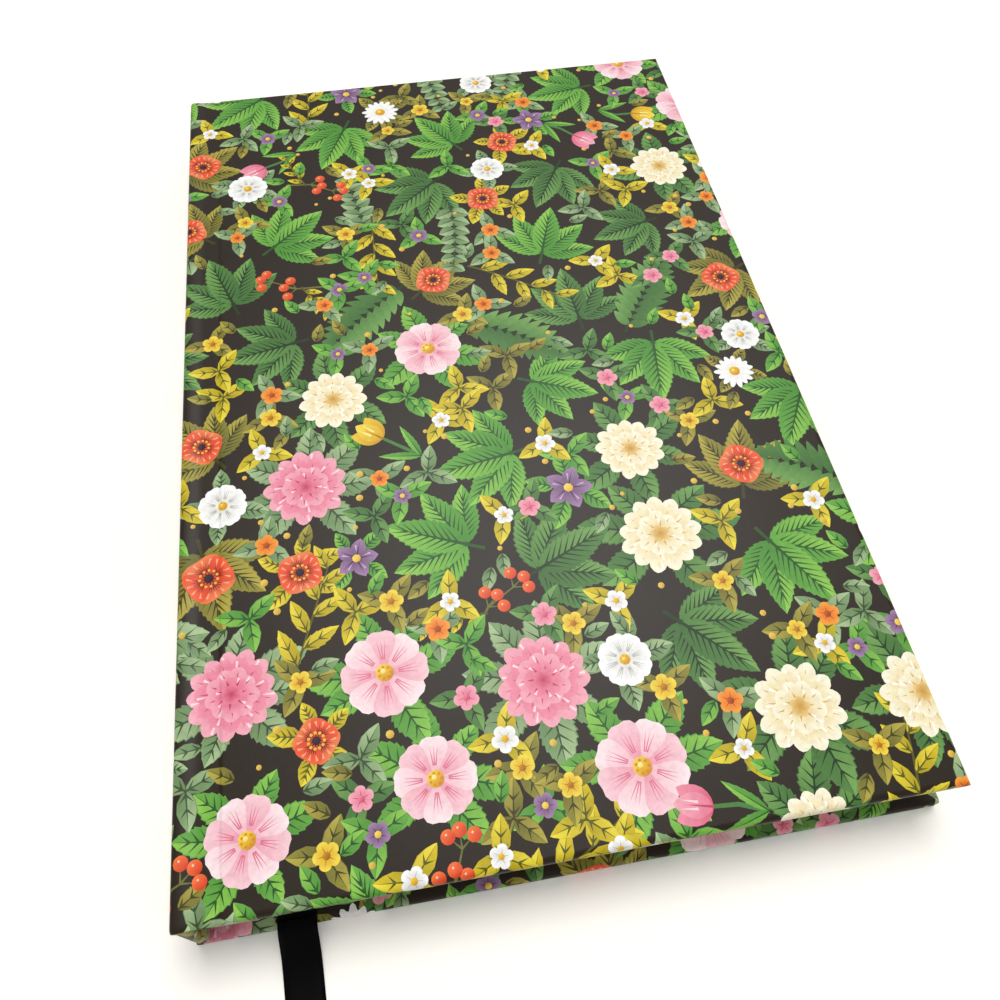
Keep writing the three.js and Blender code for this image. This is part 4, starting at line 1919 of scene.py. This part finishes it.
@dataclass
class RibbonMarker:
    """Black satin ribbon: the run inside the book and the free tail past the tail edge.

    Attributes:
        width: of the ribbon.
        thickness: of the ribbon.
        crown: how much lower its edges lie than its middle.
        columns: strips across it.
        slant: how far its cut end slants.
        spine_x: the spine's face.
        tail_x: from there to the ribbon's middle where it leaves the book.
        head_x: the same at the head.
        tail_edge: the back cover's tail edge.
        head_y: the block's head.
        rest_z: height of the run inside the book.
        table_gap: least height over the table.
        knot_steps: points of the smooth line between two points of the route.
        run_steps: points along the run inside.
        route: sideways drift, distance past the tail edge and height of each point of the tail.
    """

    width: float = 7.0
    thickness: float = 0.2
    crown: float = 0.04
    columns: int = 6
    slant: float = 2.4
    spine_x: float = -70.0
    tail_x: float = 18.3
    head_x: float = 9.0
    tail_edge: float = -108.3
    head_y: float = 104.0
    rest_z: float = 3.47
    table_gap: float = 0.01
    knot_steps: int = 6
    run_steps: int = 12
    route: tuple[tuple[float, float, float], ...] = (
        (0, -1.1, 3.47),
        (0, 0.4, 3.42),
        (0, 1.5, 2.95),
        (0, 2.9, 2.1),
        (0.02, 4.5, 1.3),
        (0.05, 6.5, 0.7),
        (0.1, 8.9, 0.32),
        (0.2, 11.7, 0.16),
        (0.5, 17, 0.16),
        (1.3, 24, 0.16),
        (2.7, 32, 0.16),
        (4.6, 40.5, 0.16),
        (6.4, 49, 0.16),
        (7.7, 58, 0.16),
        (8.2, 67, 0.16),
        (7.8, 75, 0.16),
    )

    def smooth_path(self, knots: list[Vector], steps: int) -> list[Vector]:
        """Draws a smooth line through a route, by the Barry and Goldman pyramid.

        Args:
            knots: the route's points.
            steps: points between two knots.

        Returns:
            The line's points.
        """
        ends = [2 * knots[0] - knots[1], *knots, 2 * knots[-1] - knots[-2]]
        line = []
        for a, b, c, d in zip(ends, ends[1:], ends[2:], ends[3:]):
            t = [0.0]
            for p, q in ((a, b), (b, c), (c, d)):
                t.append(t[-1] + (q - p).length ** 0.5)
            for i in range(steps):
                u = t[1] + (t[2] - t[1]) * i / steps
                ab = a.lerp(b, (u - t[0]) / (t[1] - t[0]))
                bc = b.lerp(c, (u - t[1]) / (t[2] - t[1]))
                cd = c.lerp(d, (u - t[2]) / (t[3] - t[2]))
                first = ab.lerp(bc, (u - t[0]) / (t[2] - t[0]))
                second = bc.lerp(cd, (u - t[1]) / (t[3] - t[1]))
                line.append(first.lerp(second, (u - t[1]) / (t[2] - t[1])))
        return line + [knots[-1]]

    def band(self, name: str, path: list[Vector], cut: float) -> bpy.types.Object:
        """Weaves the ribbon along a path.

        Args:
            name: the piece's name.
            path: its middle line, in metres.
            cut: how far the end slants, in metres.

        Returns:
            The dressed piece.
        """
        made = bmesh.new()
        columns = self.columns
        end_rows = 12
        rows = []
        for i, point in enumerate(path):
            along = (path[min(i + 1, len(path) - 1)] - path[max(i - 1, 0)]).normalized()
            across = along.cross(Vector((0, 0, 1))).normalized()
            lift = across.cross(along).normalized()
            row = []
            for k in range(columns + 1):
                share = 2 * k / columns - 1
                crown = -self.crown * MM * share**4
                slant = along * cut * share * (i / (len(path) - 1)) ** end_rows
                row.append(point + across * self.width / 2 * MM * share + lift * crown + slant)
            rows.append(row)
        start = [made.verts.new(p) for p in rows[0]]
        edges = [made.edges.new(pair) for pair in zip(start, start[1:])]
        for row in rows[1:]:
            grown = bmesh.ops.extrude_edge_only(made, edges=edges)["geom"]
            verts = [g for g in grown if isinstance(g, bmesh.types.BMVert)]
            edges = [g for g in grown if isinstance(g, bmesh.types.BMEdge)]
            place = {}
            for vert in verts:
                source = next(e.other_vert(vert) for e in vert.link_edges if e.other_vert(vert) in start)
                place[vert] = row[start.index(source)]
            start = sorted(verts, key=lambda v: row.index(place[v]))
            for vert in verts:
                vert.co = place[vert]
        bmesh.ops.recalc_face_normals(made, faces=made.faces)
        bmesh.ops.solidify(made, geom=made.faces[:], thickness=self.thickness * MM)
        low = min(v.co.z for v in made.verts)
        gap = self.table_gap * MM
        if low < gap:
            bmesh.ops.translate(made, verts=made.verts, vec=(0, 0, gap - low))
        return finished(name, made, (Finish.RIBBON,), smooth=True)

    def build(self) -> None:
        """Builds the run and the free tail."""
        knots = [
            Vector((self.spine_x + self.tail_x + drift, self.tail_edge - past, z)) * MM
            for drift, past, z in self.route
        ]
        path = self.smooth_path(knots, self.knot_steps)
        tail = self.band("ribbon_free_tail", path, self.slant * MM)
        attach(tail, "back_cover")
        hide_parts("ribbon_tail")
        head = Vector((self.spine_x + self.head_x, self.head_y, self.rest_z)) * MM
        run = [head.lerp(path[0], i / self.run_steps) for i in range(self.run_steps + 1)]
        inside = self.band("ribbon_inside_run", run, 0.0)
        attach(inside, "back_cover")
        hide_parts("ribbon_run")


class CarriedOver:
    """CAD nodes whose shape is right: they keep it and get their real finish."""

    threads: int = 5
    finishes: dict[str, Finish] = {
        "front_board": Finish.GREYBOARD,
        "back_board": Finish.GREYBOARD,
        "front_pastedown": Finish.ENDPAPER,
        "back_pastedown": Finish.ENDPAPER,
        "front_mull_flap": Finish.MULL,
        "back_mull_flap": Finish.MULL,
        "spine_mull": Finish.MULL,
        "spine_liner": Finish.KRAFT,
        "ribbon_anchor": Finish.RIBBON,
    }

    def build(self) -> None:
        """Dresses each node."""
        named = dict(self.finishes)
        named.update({f"sewing_thread_{i}": Finish.THREAD for i in range(1, self.threads + 1)})
        for name, finish in named.items():
            node = bpy.data.objects[name]
            node.data.materials.clear()
            node.data.materials.append(finish.material())
            log.info("%s: %s", name, finish.value.name)


@dataclass
class Studio:
    """White table, soft light from above the head, and the camera at the photograph's place.

    Attributes:
        floor: side of the table, in metres.
        table: the table's colour.
        eye: the camera's place, in metres.
        right: its direction to the right.
        up: its direction upwards.
        lens: its focal length on a 36 mm frame.
        key: strength of the lamp.
        key_degrees: how wide the lamp looks from the table, which softens the shadow.
        key_aim: where the lamp's light goes.
        sky: strength of the even light.
        glow: what the camera sees added to the table, so that it clips to white round the book.
    """

    floor: float = 30.0
    table: str = "#faf6ee"
    eye: tuple[float, float, float] = (-0.017745, -0.115193, 0.162094)
    right: tuple[float, float, float] = (0.985757, -0.168031, 0.00701)
    up: tuple[float, float, float] = (0.144063, 0.865187, 0.48031)
    lens: float = 28.455
    key: float = 2.05
    key_degrees: float = 34.0
    key_aim: tuple[float, float, float] = (-0.2, -0.65, -1.5)
    sky: float = 0.45
    glow: float = 0.14

    def build(self) -> None:
        """Makes table, light and camera."""
        self.lay_table()
        self.light()
        self.place_camera()

    def lay_table(self) -> None:
        """Lays a plain table far past the picture's edges."""
        made = bmesh.new()
        bmesh.ops.create_grid(made, x_segments=1, y_segments=1, size=self.floor / 2)
        mesh = bpy.data.meshes.new("table")
        made.to_mesh(mesh)
        made.free()
        floor = bpy.data.objects.new("table", mesh)
        bpy.context.scene.collection.objects.link(floor)
        mesh.materials.append(self.table_material())

    def place_camera(self) -> None:
        """Puts the camera where the photograph was taken from."""
        camera = bpy.data.cameras.new("camera")
        camera.lens = self.lens
        camera.sensor_width = 36.0
        camera.clip_start = 0.005
        camera.clip_end = 50.0
        seat = bpy.data.objects.new("camera", camera)
        right, up = Vector(self.right), Vector(self.up)
        turn = Matrix((right, up, right.cross(up))).transposed().to_4x4()
        seat.matrix_world = Matrix.Translation(self.eye) @ turn
        bpy.context.scene.collection.objects.link(seat)
        bpy.context.scene.camera = seat

    def table_material(self) -> bpy.types.Material:
        """Builds a table top that stays white to the camera and keeps the notebook's shadow.

        Returns:
            The material.
        """
        mat, tree, shader = blank_material("white_table")
        shader.inputs["Base Color"].default_value = (*linear(self.table), 1)
        shader.inputs["Roughness"].default_value = 0.9
        path = add_node(tree, "ShaderNodeLightPath")
        seen = add_node(
            tree,
            "ShaderNodeMath",
            {"operation": "MULTIPLY"},
            {0: path.outputs["Is Camera Ray"], 1: self.glow},
        )
        glow = add_node(
            tree,
            "ShaderNodeEmission",
            inputs={"Color": (1, 1, 1, 1), "Strength": seen.outputs[0]},
        )
        mix = add_node(tree, "ShaderNodeAddShader", inputs={0: shader.outputs[0], 1: glow.outputs[0]})
        out = next(n for n in tree.nodes if n.type == "OUTPUT_MATERIAL")
        tree.links.new(mix.outputs[0], out.inputs["Surface"])
        return mat

    def light(self) -> None:
        """Even sky and one broad soft lamp."""
        world = bpy.data.worlds.new("studio")
        bpy.context.scene.world = world
        world.use_nodes = True
        tree = world.node_tree
        tree.nodes.clear()
        path = add_node(tree, "ShaderNodeLightPath")
        seen = add_node(
            tree,
            "ShaderNodeMath",
            {"operation": "MAXIMUM"},
            {0: path.outputs["Is Camera Ray"], 1: path.outputs["Is Transmission Ray"]},
        )
        strength = add_node(
            tree,
            "ShaderNodeMapRange",
            inputs={"Value": seen.outputs[0], 1: 0.0, 2: 1.0, 3: self.sky, 4: 1.0},
        )
        ground = add_node(
            tree,
            "ShaderNodeBackground",
            inputs={"Color": (1, 1, 1, 1), "Strength": strength.outputs["Result"]},
        )
        add_node(tree, "ShaderNodeOutputWorld", inputs={"Surface": ground.outputs[0]})
        lamp = bpy.data.lights.new("window", "SUN")
        lamp.energy = self.key
        lamp.angle = math.radians(self.key_degrees)
        place = bpy.data.objects.new("window", lamp)
        place.rotation_euler = Vector(self.key_aim).to_track_quat("-Z", "Y").to_euler()
        bpy.context.scene.collection.objects.link(place)


def main() -> None:
    """Builds the notebook and its studio."""
    logging.basicConfig(level=logging.INFO, format="%(name)s %(message)s")
    bpy.context.scene.view_settings.view_transform = "Standard"
    Studio().build()
    RibbonMarker().build()
    PrintedCase().build()
    Block().build()
    Headbands().build()
    CarriedOver().build()


if __name__ == "__main__":
    main()
